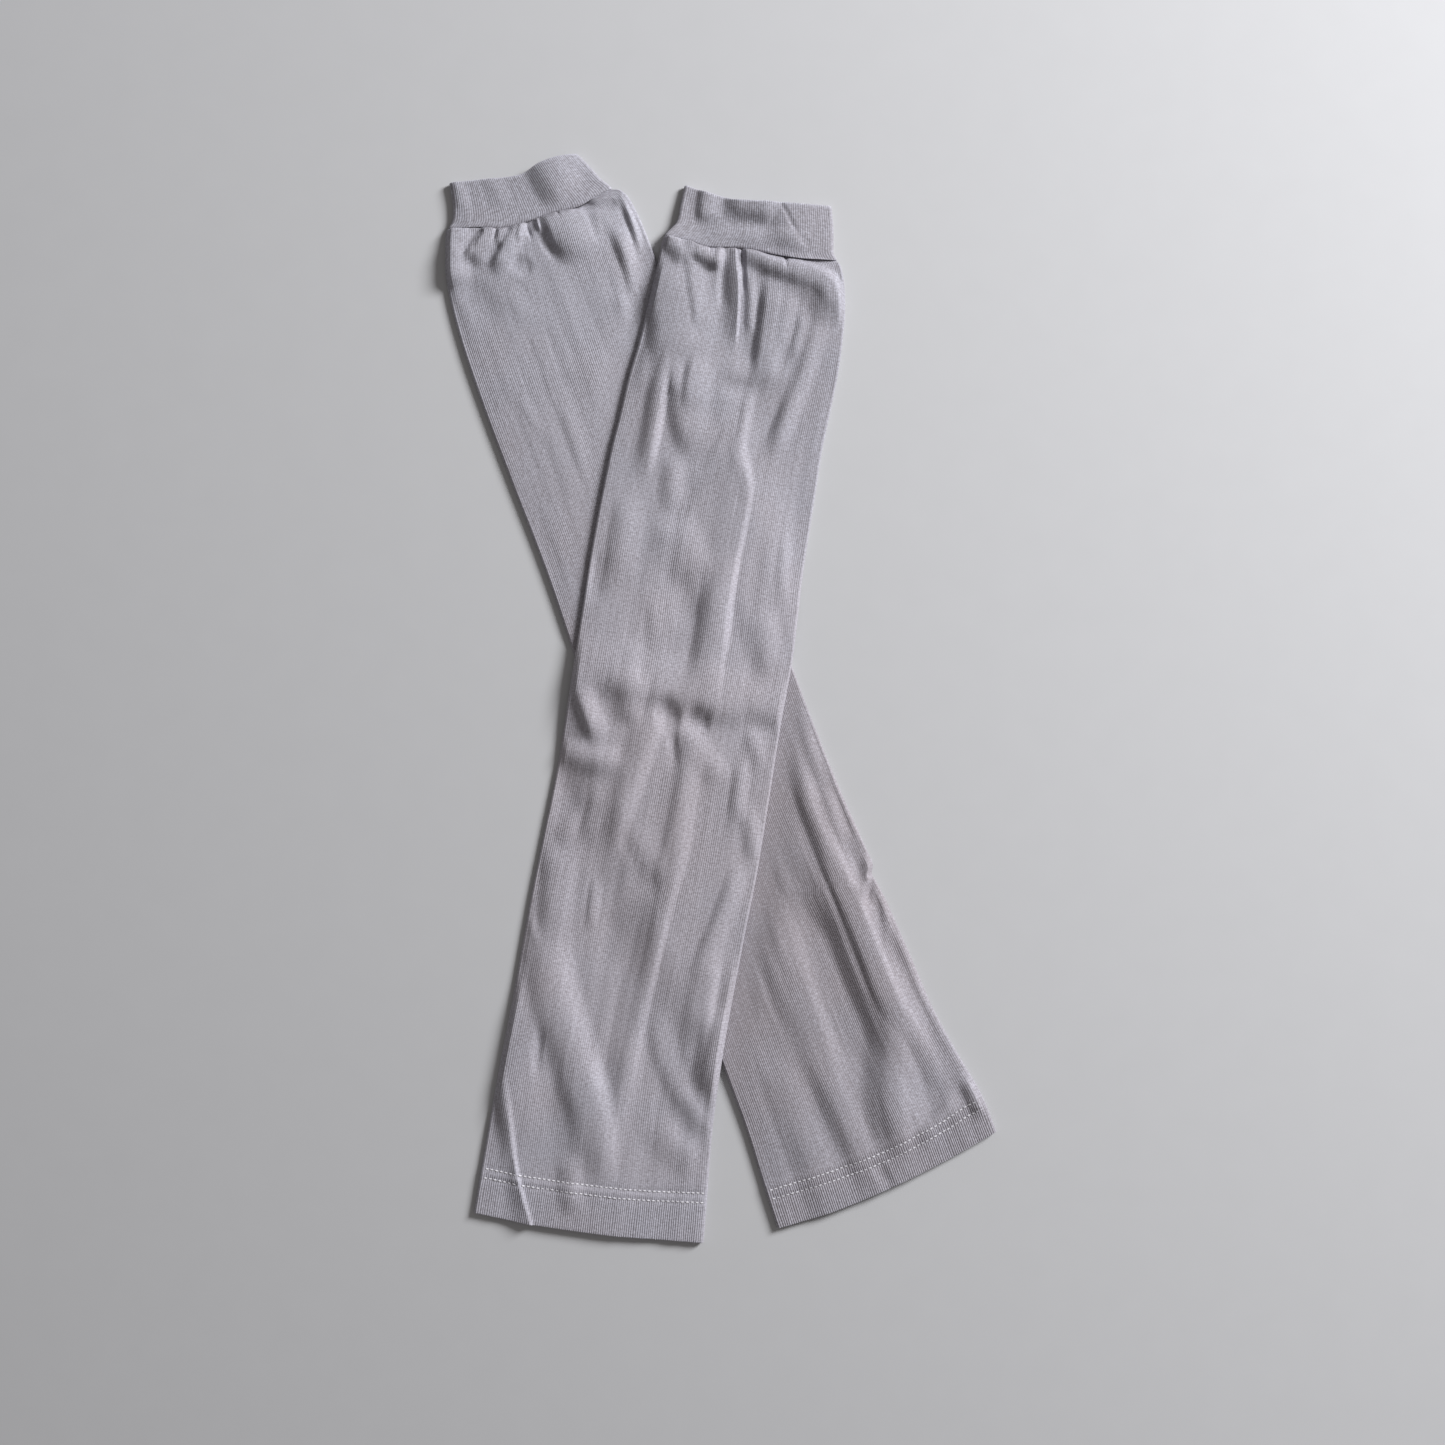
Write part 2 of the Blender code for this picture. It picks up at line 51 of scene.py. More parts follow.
underSleeve = {
    "name": "under_sleeve",
    "x": -91.6,
    "y": 234.5,
    "angle": 20.2,
    "length": 500.0,
    # share of the width, distance along
    "seam": [
        (0.00, -4.6), (0.19, 0.4), (0.30, 4.2), (0.42, 5.6), (0.65, 6.4), (0.78, 7.4),
        (0.88, 5.8), (1.00, 4.6),
    ],
    # share of the width, depth of the seam's groove, how gathered, how far the edge rolls out
    "seamLine": [
        (0.00, 0.25, 0.2, 0.9), (0.18, 0.35, 0.5, 1.0), (0.26, 0.75, 1.0, 0.3), (0.36, 0.9, 1.0, 0.0),
        (0.44, 1.35, 1.0, 0.0), (0.56, 1.3, 0.7, 0.0), (0.68, 0.95, 0.4, 0.0), (0.80, 0.75, 0.2, 0.0),
        (0.88, 0.15, 0.0, 0.0), (1.00, 0.00, 0.0, 0.0),
    ],
    # distance along, how much painted shade darkens the knit there (above 0 it is painted light), warmth
    # of the painted light's colour
    "paintedShadingAlong": [
        (-25.0, -0.35, -1.0), (40.0, -0.1, -0.9), (190.0, -0.5, 0.0), (340.0, -0.9, 0.8),
        (500.0, -0.4, -0.4),
    ],
    "fineRows": [(344.0, 372.0)],     # closer rows at the tuck in the right edge
    "hem": [(0.00, 499.5), (0.25, 501.0), (0.50, 499.7), (0.75, 496.8), (1.00, 492.0)],
    "cuffTop": [
        (0.00, -25.0), (0.23, -21.3), (0.53, -16.9), (0.70, -18.5), (0.87, -18.4), (1.00, -16.9),
    ],
    # along, left edge, right edge, how far the middle stands up
    "edges": [
        (0.0, -41.0, 40.5, 0.3), (2.0, -42.0, 44.2, 1.0), (8.0, -44.5, 46.6, 2.0),
        (22.0, -49.5, 48.0, 2.4), (47.0, -52.8, 48.4, 1.8), (77.0, -53.8, 47.8, 0.9),
        (118.0, -53.5, 46.5, 0.5), (165.0, -52.8, 45.0, 0.3), (208.0, -53.8, 43.4, 0.2),
        (250.0, -54.2, 42.3, 0.3), (302.0, -54.4, 43.0, 0.6), (343.0, -54.6, 45.4, 0.8),
        (350.4, -54.6, 46.0, 0.8), (352.4, -54.6, 45.6, 0.8), (355.0, -54.7, 43.9, 0.8),
        (360.4, -54.7, 44.6, 0.8), (369.5, -54.7, 45.8, 0.8),
        (398.0, -54.8, 47.6, 0.9), (425.0, -54.9, 49.0, 0.9), (450.0, -55.0, 52.5, 0.8),
        (478.0, -56.4, 56.6, 0.5), (500.0, -57.3, 57.3, 0.4),
    ],
    # share from the seam to the fold, left edge, right edge
    "cuffEdges": [
        (0.00, -40.5, 40.5), (0.10, -37.4, 39.6), (0.30, -35.2, 36.9), (0.60, -33.4, 34.3),
        (1.00, -32.0, 30.5),
    ],
    # across, along: the upper of the two rows of hem stitches
    "stitchRow": [
        (-57.2, 480.6), (-38.7, 481.8), (-17.4, 482.5), (2.6, 482.2), (20.1, 480.4),
        (35.2, 478.3), (45.3, 475.9), (56.3, 474.3),
    ],
    "creases": [
        # cuff: its right half stands up beside a hollow
        Crease(2.9, 12.5, 18.0, [
            (-24, 13.5), (-16, 14.5), (-8, 15.5), (-2, 17.5), (3, 20),
        ], head=0.6, tail=0.2),
        Crease(0.8, 8.0, 4.6, [(-22, -29), (-16, -29), (-9, -30)], head=1.0, tail=0.4, sharp=0.2),
        Crease(0.5, 5.8, 6.9, [(-20, -13), (-12, -12), (-5, -14)], head=1.0),
        # gathers that run down from the cuff seam, with the puffs between them
        Crease(4.5, 3.4, 14.0, [(0, -41), (7, -45), (14, -48), (24, -50.5)], head=0.6, tail=0.1),
        Crease(3.0, 3.6, 11.0, [(2.6, -22), (6, -27), (10, -33), (14, -38)], head=0.9),
        Crease(-0.62, 1.2, 1.4, [(2.5, -25), (7, -30), (11, -34)], head=1.0, sharp=0.4),
        Crease(-1.0, 1.3, 1.7, [(2, -18), (5, -19), (9, -22)], head=1.0, sharp=0.4),
        Crease(1.5, 3.4, 4.0, [(4, -14), (8, -17), (13, -21)], head=0.9),
        Crease(2.88, 3.4, 8.0, [
            (4, -7.6), (9, -12.4), (14, -17.6), (19, -24), (22, -29),
        ], head=1.0, sharp=0.2),
        Crease(1.25, 2.0, 2.6, [(5, -5.5), (9, -8), (14, -11)], head=0.9, sharp=0.3),
        Crease(-1.0, 1.4, 2.0, [(4, -3), (9, -4.5), (15, -4)], head=1.0, sharp=0.4),
        Crease(1.0, 1.6, 1.2, [(4, 1.8), (9, 1.2), (14, 0.8)], head=1.0, sharp=0.4),
        Crease(4.0, 11.5, 18.0, [(4, 8.5), (10, 9), (16, 10.4), (22, 12.4), (28, 14), (34, 15)], head=0.9),
        Crease(-1.25, 4.6, 3.4, [(9, 3), (16, 2.5), (23, 3.5), (28, 6.5)], head=0.3),
        Crease(-1.0, 1.2, 1.4, [(5, 11.5), (9, 12)], head=1.0, sharp=0.3),
        Crease(-2.25, 3.9, 2.8, [(8, 21), (10, 27), (11.5, 33), (12, 41)], head=0.4),
        Crease(1.0, 4.6, 8.0, [(7, 31), (16, 29), (27, 29)], head=0.6),
        Crease(-1.12, 5.8, 5.8, [(20, -17), (25, -13), (30, -9)]),
        Crease(-0.62, 9.0, 9.0, [(23, -46), (30, -39), (40, -37), (48, -38)]),
        Crease(0.38, 6.8, 7.9, [(33, -26), (42, -21), (54, -20)]),
        # creases by the upper right edge
        Crease(1.75, 3.0, 3.4, [(11, 43.5), (20, 43.8), (30, 43.6), (42, 42)], head=0.4, sharp=0.2),
        Crease(2.12, 5.3, 6.9, [(20, 34.5), (34, 35.6), (46, 35.6), (57, 34), (66, 31)], head=0.2),
        Crease(1.5, 6.9, 5.8, [(52, 27), (62, 26), (72, 24)]),
        # soft streaks lengthwise, below the gathers
        Crease(0.25, 4.6, 6.9, [(46, -39), (64, -39), (90, -40)]),
        Crease(0.25, 4.6, 6.9, [(46, -9), (62, -9), (90, -10)]),
        Crease(0.31, 3.9, 6.9, [(50, -19), (72, -19), (96, -20)]),
        Crease(0.45, 4.6, 8.0, [(84, -18), (110, -18), (146, -18)]),
        Crease(0.25, 4.6, 6.9, [(88, -28), (116, -28), (160, -29)]),
        Crease(0.3, 3.4, 4.6, [(80, -37), (92, -34), (110, -31)]),
        Crease(0.25, 4.6, 6.9, [(126, -43), (160, -42), (192, -44)]),
        Crease(0.5, 6.9, 9.2, [(82, 20), (79, 0), (76, -52)]),
        # long ridges and black troughs of the lower end
        Crease(2.5, 7.5, 6.9, [
            (268, 28), (290, 27.5), (318, 27.5), (340, 28), (362, 29.4), (388, 30), (404, 30),
            (418, 31.5), (432, 36), (446, 38.5), (464, 38),
        ], head=0.6),
        Crease(4.2, 22.0, 11.0, [(322, 27), (350, 28.5), (380, 30), (408, 31), (426, 34), (444, 38)]),
        Crease(1.6, 4.6, 7.5, [(350, 31), (372, 29.5), (398, 29.5), (414, 31), (432, 35.5)]),
        Crease(-2.3, 13.8, 14.9, [(350, 12), (376, 9), (404, 8.5), (430, 7), (452, 3)]),
        Crease(-0.6, 3.4, 2.8, [(336, 20.5), (360, 22.5), (390, 23), (414, 23.5), (424, 23)], sharp=0.2),
        Crease(3.6, 15.0, 18.4, [
            (412, 32), (425, 29), (438, 24.5), (449, 18.6), (460, 15), (474, 12.6), (492, 10),
        ], head=0.2, tail=0.1),
        Crease(1.7, 7.5, 8.0, [
            (416, 31), (427, 28.6), (438, 25), (449, 19.6), (460, 16), (474, 13.2), (490, 10.6),
        ], tail=0.1),
        Crease(0.9, 6.2, 6.2, [(428, 36), (440, 37.5), (452, 38), (466, 36)]),
        Crease(1.0, 12.5, 19.5, [
            (322, -4), (346, -8), (380, -11), (410, -11), (436, -10.5), (462, -9), (500, -5),
        ], tail=0.3),
        Crease(1.2, 9.2, 11.5, [(424, -12), (446, -10.5), (470, -9), (500, -5)], tail=0.3),
        Crease(1.0, 13.8, 11.5, [(414, -30), (440, -30), (470, -29), (500, -27)], tail=0.3),
        Crease(0.3, 5.6, 5.8, [(340, -17), (366, -18), (390, -17), (418, -18)]),
        Crease(0.6, 4.6, 6.9, [(356, -28), (380, -28), (404, -29)]),
        Crease(0.7, 3.4, 5.8, [(322, 0), (336, 1.5), (352, 2)]),
        Crease(-0.7, 4.6, 4.6, [(484, -2), (492, -1), (499, 0)], tail=0.4),
        Crease(1.5, 5.5, 3.4, [(460, 52.2), (471, 53), (485, 54)]),
        Crease(1.3, 5.0, 6.0, [(468, 46), (474, 36), (480, 27), (486, 19)]),
        Crease(0.9, 5.8, 5.8, [(252, 38), (270, 37), (290, 36), (312, 36)]),
        Crease(1.1, 5.8, 5.8, [(306, 36), (324, 35.5), (342, 36)]),
        Crease(0.8, 2.8, 3.4, [(296, 43), (320, 43.6), (346, 44)], sharp=0.2),
        Crease(0.6, 4.4, 4.4, [(372, 45.5), (396, 46.5), (424, 48), (446, 50)]),
        Crease(1.0, 3.4, 5.8, [(360, 44), (372, 44.5), (384, 40.5), (394, 38)], sharp=0.2),
        # the tuck that nicks the right edge
        Crease(2.8, 8.0, 2.4, [
            (351, 46.6), (355, 43.2), (358.8, 39.8), (362.6, 36.3), (366, 33.4),
        ], head=1.0, tail=0.3, sharp=0.3),
        Crease(-0.8, 1.6, 3.4, [
            (356.6, 43.4), (360.6, 40.2), (364.4, 37.2), (370, 36),
        ], head=0.8, sharp=0.2),
    ],
}

overSleeve = {
    "name": "over_sleeve",
    "x": 14.2,
    "y": 215.3,
    "angle": -9.4,
    "length": 477.0,
    "seam": [
        (0.00, 1.1), (0.15, 1.4), (0.22, 2.8), (0.30, 2.3), (0.44, 0.8), (0.67, 1.0),
        (0.80, 0.8), (1.00, -1.2),
    ],
    "seamLine": [
        (0.00, 0.25, 0.2, 0.9), (0.12, 0.3, 0.4, 1.0), (0.18, 0.8, 0.9, 0.3), (0.36, 0.8, 1.0, 0.0),
        (0.42, 1.4, 0.9, 0.0), (0.55, 1.4, 0.8, 0.0), (0.63, 0.7, 0.6, 0.0), (0.72, 0.3, 0.3, 0.0),
        (0.79, 0.05, 0.0, 0.0), (1.00, 0.00, 0.0, 0.0),
    ],
    # distance along, painted shade there (above 0 painted light), warmth of the painted light's colour
    "paintedShadingAlong": [
        (-25.0, -0.6, -1.0), (40.0, -0.6, -0.9), (160.0, 0.0, 0.0), (270.0, -0.1, 0.6), (478.0, 0.3, -0.4),
    ],
    "fineRows": [],
    "hem": [(0.00, 477.2), (0.26, 478.2), (0.61, 477.2), (0.78, 475.6), (1.00, 473.5)],
    "cuffTop": [
        (0.00, -25.2), (0.11, -23.6), (0.25, -22.3), (0.36, -21.6), (0.66, -24.1),
        (0.80, -25.2), (1.00, -26.6),
    ],
    "edges": [
        (0.0, -42.0, 42.3, 0.3), (2.0, -42.2, 43.8, 1.0), (8.0, -42.4, 46.3, 1.9),
        (19.0, -43.0, 48.9, 2.2), (31.0, -43.8, 50.3, 2.0), (51.0, -45.2, 51.1, 1.5),
        (71.0, -47.6, 50.4, 1.1), (91.0, -48.9, 49.5, 0.9), (106.0, -50.2, 49.7, 0.8),
        (150.0, -51.5, 50.1, 0.7), (190.0, -51.2, 51.8, 0.7), (225.0, -50.9, 51.4, 0.8),
        (259.0, -50.8, 51.7, 0.8), (293.0, -52.1, 51.8, 0.7), (325.0, -53.2, 50.8, 0.7),
        (369.0, -53.8, 49.9, 0.8), (403.0, -54.7, 50.2, 0.8), (425.0, -55.0, 51.2, 0.7),
        (454.0, -55.3, 53.6, 0.5), (477.0, -55.4, 55.4, 0.4),
    ],
    "cuffEdges": [
        (0.00, -42.0, 42.0), (0.12, -39.9, 39.6), (0.30, -37.0, 38.8), (0.60, -36.7, 37.4),
        (1.00, -36.2, 34.8),
    ],
    "stitchRow": [
        (-55.1, 455.2), (-28.8, 455.8), (-9.9, 455.1), (17.6, 453.9), (53.4, 449.7),
    ],
    "creases": [
        # cuff: a hollow in the middle under its top, bright swells beside it and thin diagonals
        Crease(3.4, 3.4, 14.4, [(-22, -19), (-22.6, -10), (-23.6, -1), (-24, 7), (-23, 12)], tail=0.1),
        Crease(-1.0, 6.9, 9.2, [(-12, -18), (-11.6, -8), (-11, 2), (-11, 13)]),
        Crease(1.0, 11.5, 18.4, [(-28, 14), (-20, 16), (-12, 19), (-4, 26)], head=1.0, tail=0.5),
        Crease(1.9, 4.6, 10.5, [(-26, -25.6), (-20, -25.4), (-13, -25), (-7, -24)], head=1.0),
        Crease(-0.42, 1.8, 2.2, [(-24, 10), (-19, 14.5), (-14, 18), (-9, 23)], head=0.8, sharp=0.2),
        Crease(-0.25, 2.2, 2.4, [(-12, 19), (-9, 23), (-5, 29)]),
        Crease(0.9, 5.8, 6.9, [(-8, 28), (-8, 12), (-7, -2), (-8, -14)]),
        # gathers and the one sharp pleat under the cuff seam
        Crease(2.75, 5.8, 8.0, [(0, -42), (3, -37), (7, -31.5), (12, -27)], head=0.9),
        Crease(4.25, 6.4, 6.4, [(1.6, -27), (4.8, -23.5), (7.6, -18), (9.4, -11)], head=0.8),
        Crease(1.12, 4.1, 9.2, [(12, -27), (22, -24), (34, -20), (46, -16)], head=0.9),
        Crease(3.0, 9.2, 23.0, [(8, -43), (24, -41), (42, -36), (58, -31), (70, -26)]),
        Crease(-0.75, 1.0, 1.3, [(1, -19.5), (6, -18.5)], head=1.0, sharp=0.3),
        Crease(1.75, 2.8, 2.8, [(1, -14.6), (8, -14.4), (14, -13.4)], head=0.9, sharp=0.2),
        Crease(-0.8, 3.4, 4.6, [(4, -11), (12, -11), (22, -10), (34, -8)], head=0.8),
        Crease(2.5, 8.6, 1.3, [
            (0, -7.4), (8, -5.6), (17, -3.2), (28, -1.4), (40, -0.2), (52, 1),
        ], head=0.6, sharp=0.6),
        Crease(-1.62, 1.0, 2.6, [(0, -4.6), (8, -3), (16, -1.2), (24, 0.6)], head=1.0, sharp=0.4),
        Crease(1.25, 3.4, 3.4, [(14, 2), (24, 4), (34, 5.4), (44, 7)], head=0.4),
        Crease(3.25, 2.4, 9.0, [(0.4, 0), (2.6, 6), (4.6, 13), (5.6, 22)], head=1.0, tail=0.3),
        Crease(2.5, 4.6, 9.2, [
            (4, 11), (5.6, 18), (6, 27), (7, 34), (10, 40), (16, 44), (24, 46),
        ], head=0.2),
        Crease(3.5, 5.8, 16.0, [(4.4, 14), (5.6, 24), (7.4, 34), (11, 41), (20, 45), (32, 47)], head=0.1),
        Crease(-1.25, 1.4, 1.8, [(0, 17), (4, 17.6), (8, 18.6)], head=1.0, sharp=0.2),
        Crease(1.0, 3.4, 3.4, [(2, 9), (3.4, 12.5), (3.4, 16)], head=0.8),
        Crease(1.6, 3.0, 4.0, [(1.6, 19), (1.4, 27), (1.2, 35), (0.6, 42)], head=0.8, tail=0.6),
        Crease(2.7, 5.0, 12.5, [(10, 11.6), (24, 12.4), (38, 12.6), (52, 13), (64, 13.4)], head=0.2),
        Crease(1.0, 4.6, 4.6, [(14, 23), (30, 22.5), (50, 22)]),
        Crease(0.88, 3.4, 4.6, [(24, 30), (38, 29.5), (52, 27.5)]),
        Crease(1.62, 5.6, 7.5, [
            (28, 38.6), (44, 36), (60, 33.2), (75, 30.4), (90, 26.4), (106, 21),
        ], head=0.2),
        Crease(0.8, 6.4, 6.4, [(62, 33), (78, 29.6), (98, 24)]),
        Crease(1.88, 4.5, 13.0, [(54, -17), (68, -18), (84, -16)]),
        # short folds of the upper half
        Crease(2.75, 7.5, 4.6, [(54, -32), (74, -31.6), (96, -31.4), (120, -33)]),
        Crease(0.88, 2.8, 5.8, [(58, -27.6), (68, -26.6), (78, -24)]),
        Crease(0.88, 4.6, 5.8, [(44, -37), (60, -40), (80, -42)]),
        Crease(2.5, 8.6, 16.1, [(58, -24), (70, -22), (80, -20.6), (90, -17), (98, -12), (106, -7)]),
        Crease(-0.7, 2.3, 3.0, [(84, 2), (94, -2), (102, -7), (110, -14), (118, -20)], sharp=0.2),
        Crease(1.3, 6.9, 8.0, [(102, -20), (115, -19.4), (132, -17)]),
        Crease(-0.6, 6.9, 4.6, [(112, -6), (128, -12), (142, -18)]),
        Crease(0.4, 6.8, 6.9, [(134, -19), (146, -19), (160, -18)]),
        # a soft crease part of the way across
        Crease(1.0, 10.3, 6.9, [(57, 32), (59.4, 18), (60.6, 4), (62, -8)]),
        Crease(-0.8, 5.8, 5.8, [(67, 12), (67, 4), (66, -5)]),
        Crease(0.8, 3.4, 4.6, [(66, 10), (80, 10.4), (94, 10.6)]),
        # the long ridge in the middle, with the black fold on its left
        Crease(0.7, 6.9, 3.9, [(76, 9), (86, 9.6), (96, 10.8), (104, 14), (111, 17), (124, 18)]),
        Crease(0.9, 19.5, 3.2, [
            (86, 10), (98, 11.4), (106, 15), (114, 17.6), (132, 18), (150, 17),
        ], tail=0.2, sharp=0.2),
        Crease(1.3, 18.4, 3.2, [
            (120, 17.8), (140, 17.2), (165, 16.8), (188, 17.4), (204, 18), (218, 19),
        ], head=0.1, tail=0.3, sharp=0.2),
        Crease(1.6, 10.9, 3.2, [(144, 17), (160, 16.6), (176, 16.8), (198, 17.4)]),
        Crease(2.2, 7.5, 9.5, [(152, 11), (166, 9.4), (182, 9.6), (200, 9.8), (214, 9.6)], tail=0.2),
        Crease(-0.8, 3.4, 5.8, [(166, 21.5), (180, 21.5), (194, 23)]),
        Crease(1.2, 11.5, 9.2, [(168, 31), (184, 38), (204, 42)]),
        Crease(-0.4, 6.9, 6.9, [(186, 30), (198, 34), (210, 38)]),
        Crease(-0.8, 9.2, 8.0, [(158, -11), (171, -4), (186, 0)]),
        Crease(1.4, 14.9, 11.5, [(132, -16), (148, -6), (162, 5)]),
        Crease(1.4, 6.9, 11.3, [(124, -39), (146, -39), (172, -37)]),
        Crease(-0.8, 5.8, 6.9, [(154, -48), (168, -47), (182, -44)]),
        Crease(0.6, 5.8, 6.9, [(170, -20), (184, -16), (202, -14)]),
        Crease(0.6, 4.6, 4.6, [(130, 39), (152, 41), (170, 44)]),
        Crease(0.3, 4.6, 6.9, [(192, -28), (204, -26), (214, -23)]),
        # the packing crease right across, with uneven dark hollows under it
        Crease(2.3, 22.0, 11.5, [
            (217, 53), (217.6, 36), (218, 20), (216, 4), (215, -14), (213.6, -30), (214, -54),
        ], head=0.6, tail=0.7),
        Crease(0.8, 9.0, 17.0, [(213, -17), (212.6, -27), (212.6, -36)]),
        Crease(2.4, 12.0, 7.0, [(208, -19), (221, -20), (236, -21)]),
        Crease(-1.8, 8.0, 6.9, [(217, -9), (224, -4), (231, 0), (236, 2)]),
        Crease(-1.9, 10.3, 8.0, [(229, 19), (228, 12), (225, 4)]),
        Crease(-0.9, 8.0, 6.9, [(226, 52), (224.6, 42), (222, 30)], head=0.4),
        Crease(2.7, 5.1, 9.2, [(217, -49), (227, -44.4), (237, -38.6), (247, -32.4)], head=0.2, sharp=0.2),
        Crease(2.1, 8.0, 9.2, [(249, -18), (252.6, -28), (253.4, -40), (250.6, -53)], tail=0.5),
        # folds of the lower half
        Crease(0.8, 6.0, 9.0, [(232, 5), (248, 9.8), (262, 10.4), (280, 10), (304, 8)], head=0.3),
        Crease(1.0, 6.5, 5.5, [(278, -39), (288, -41), (298, -43)]),
        Crease(0.6, 9.0, 9.0, [(282, -9), (296, 0), (310, 9)]),
        Crease(2.1, 12.0, 7.5, [
            (222, -6), (236, -10), (250, -12.4), (264, -14.6), (280, -17.6), (298, -21.6),
        ], head=0.2),
        Crease(1.0, 8.0, 9.2, [
            (224, 9), (244, 10.4), (262, 9.8), (290, 9), (310, 7.6), (330, 6.4), (350, 4), (370, 2.4),
            (400, 2.4), (430, 2),
        ], head=0.2, tail=0.1),
        Crease(1.2, 6.9, 3.9, [
            (258, 16.4), (276, 16), (292, 15.2), (306, 13.2), (322, 11.6), (344, 10), (368, 8.4),
            (400, 7.4), (424, 6.4),
        ], tail=0.1),
        Crease(1.3, 9.2, 10.3, [(372, 3), (396, 4), (420, 3), (456, 1)], tail=0.2),
        Crease(1.1, 9.2, 8.0, [(228, 7), (237, 12), (245, 19), (252, 27), (259, 32)], head=0.2),
        Crease(-0.8, 4.6, 3.4, [(232, 0), (242, 3), (252, 5)]),
        Crease(1.2, 5.3, 5.8, [(240, 35.4), (254, 36.4), (264, 37), (275, 37.4)]),
        Crease(1.1, 6.2, 5.8, [(262, 41), (276, 46), (292, 51)]),
        Crease(0.8, 4.6, 5.8, [(226, 36), (236, 41), (246, 46)]),
        Crease(-0.9, 10.3, 11.5, [(305, 8), (306, -1), (304, -10)]),
        Crease(-0.4, 4.6, 5.8, [(284, -14), (294, -10), (302, -5)]),
        Crease(1.0, 5.8, 6.9, [(264, -28), (280, -30), (296, -32)]),
        Crease(-0.8, 6.9, 9.2, [(262, -46), (276, -44), (290, -44)]),
        Crease(0.8, 3.0, 4.6, [(308, -23.6), (322, -23.6), (336, -22.6)]),
        Crease(-0.7, 10.3, 9.2, [(322, -14), (340, -12), (356, -12)]),
        Crease(1.5, 5.3, 8.0, [(286, 43), (304, 40.6), (320, 37.4), (336, 33.6), (352, 31)]),
        Crease(0.6, 3.4, 2.3, [(331, -54), (338, -49.6), (347, -44)], head=0.2, sharp=0.2),
        Crease(1.7, 13.8, 5.8, [(332, 38), (350, 37.6), (366, 37.8), (382, 36)]),
        Crease(1.6, 8.0, 3.4, [(330, 48.6), (352, 49.4), (376, 48.6), (396, 48.4), (414, 51)], tail=0.3),
        Crease(2.3, 11.5, 4.6, [(358, 48), (378, 47), (396, 47.4), (408, 50)]),
        Crease(1.3, 6.9, 9.2, [
            (362, 14), (376, 17), (390, 22.6), (401, 30), (410, 39), (417, 47),
        ], tail=0.1),
        Crease(1.0, 11.5, 5.8, [(400, 31), (409, 38), (417, 46), (422, 51)], tail=0.2),
        Crease(1.2, 9.2, 12.6, [(436, 50), (431, 38), (425, 29), (416, 21)], tail=0.2),
        Crease(1.4, 8.0, 8.0, [(440, -15), (454, -12.6), (472, -9)]),
        # the broad folds that meet the hem on the left
        Crease(2.0, 8.0, 12.6, [(292, -47), (312, -44), (330, -42), (346, -41)]),
        Crease(4.0, 14.5, 13.5, [
            (326, -42), (344, -41.6), (356, -38.6), (367, -34.4), (378, -29.2), (391, -22.6), (404, -16),
            (416, -9.6), (428, -5), (444, 0),
        ], head=0.1),
        Crease(2.6, 23.0, 10.3, [(394, -20), (408, -12), (422, -6), (438, -1), (456, 2)]),
        Crease(-0.9, 4.1, 3.4, [(382, -37), (396, -38), (410, -34.4)]),
        Crease(2.4, 6.9, 29.9, [(352, -56), (376, -55), (400, -53), (424, -48), (450, -41)], head=0.1),
        Crease(1.8, 9.0, 1.7, [
            (408, -52.4), (424, -47.2), (440, -42.8), (452, -39.2), (462, -35.2), (472, -30.4),
            (480, -26.6),
        ], head=0.1, tail=0.8, sharp=0.8),
    ],
}


def smoothStep(value):
    value = np.clip(value, 0.0, 1.0)
    return value * value * (3.0 - 2.0 * value)


def readCurve(table, places, column=1):
    # a smooth curve through the table's points, held flat past its ends
    x = np.array([row[0] for row in table], float)
    y = np.array([row[column] for row in table], float)
    upper = np.minimum(np.arange(len(x)) + 1, len(x) - 1)
    lower = np.maximum(np.arange(len(x)) - 1, 0)
    slope = (y[upper] - y[lower]) / (x[upper] - x[lower])
    index = np.clip(np.searchsorted(x, places, side="right") - 1, 0, len(x) - 2)
    span = x[index + 1] - x[index]
    part = np.clip((places - x[index]) / span, 0.0, 1.0)
    square, cube = part ** 2, part ** 3
    return (
        (2 * cube - 3 * square + 1) * y[index]
        + (cube - 2 * square + part) * span * slope[index]
        + (3 * square - 2 * cube) * y[index + 1]
        + (cube - square) * span * slope[index + 1]
    )


def readPlace(table, place, column=1):
    return float(readCurve(table, np.array([place]), column)[0])


def softNoise(u, v, seed):
    # smooth noise from -1 to 1, one step of the lattice per unit
    cells = 64
    lattice = np.random.default_rng(seed).uniform(-1.0, 1.0, (cells, cells))
    column, row = np.floor(u).astype(int), np.floor(v).astype(int)
    blendU, blendV = smoothStep(u - column), smoothStep(v - row)
    left, right = column % cells, (column + 1) % cells
    near, far = row % cells, (row + 1) % cells
    nearRow = lattice[near, left] * (1 - blendU) + lattice[near, right] * blendU
    farRow = lattice[far, left] * (1 - blendU) + lattice[far, right] * blendU
    return nearRow * (1 - blendV) + farRow * blendV


def unevenness(rows, across, along):
    # soft noises added up; a row is its size across, its size along, its amount and its seed
    return sum(
        amount * softNoise(across / sizeAcross, along / sizeAlong, seed)
        for sizeAcross, sizeAlong, amount, seed in rows
    )


def toTable(sleeve, along, across):
    angle = math.radians(sleeve["angle"])
    x = sleeve["x"] + along * math.sin(angle) + across * math.cos(angle)
    y = sleeve["y"] - along * math.cos(angle) + across * math.sin(angle)
    return x, y


def fromTable(sleeve, x, y):
    angle = math.radians(sleeve["angle"])
    dx, dy = x - sleeve["x"], y - sleeve["y"]
    along = dx * math.sin(angle) - dy * math.cos(angle)
    across = dx * math.cos(angle) + dy * math.sin(angle)
    return along, across


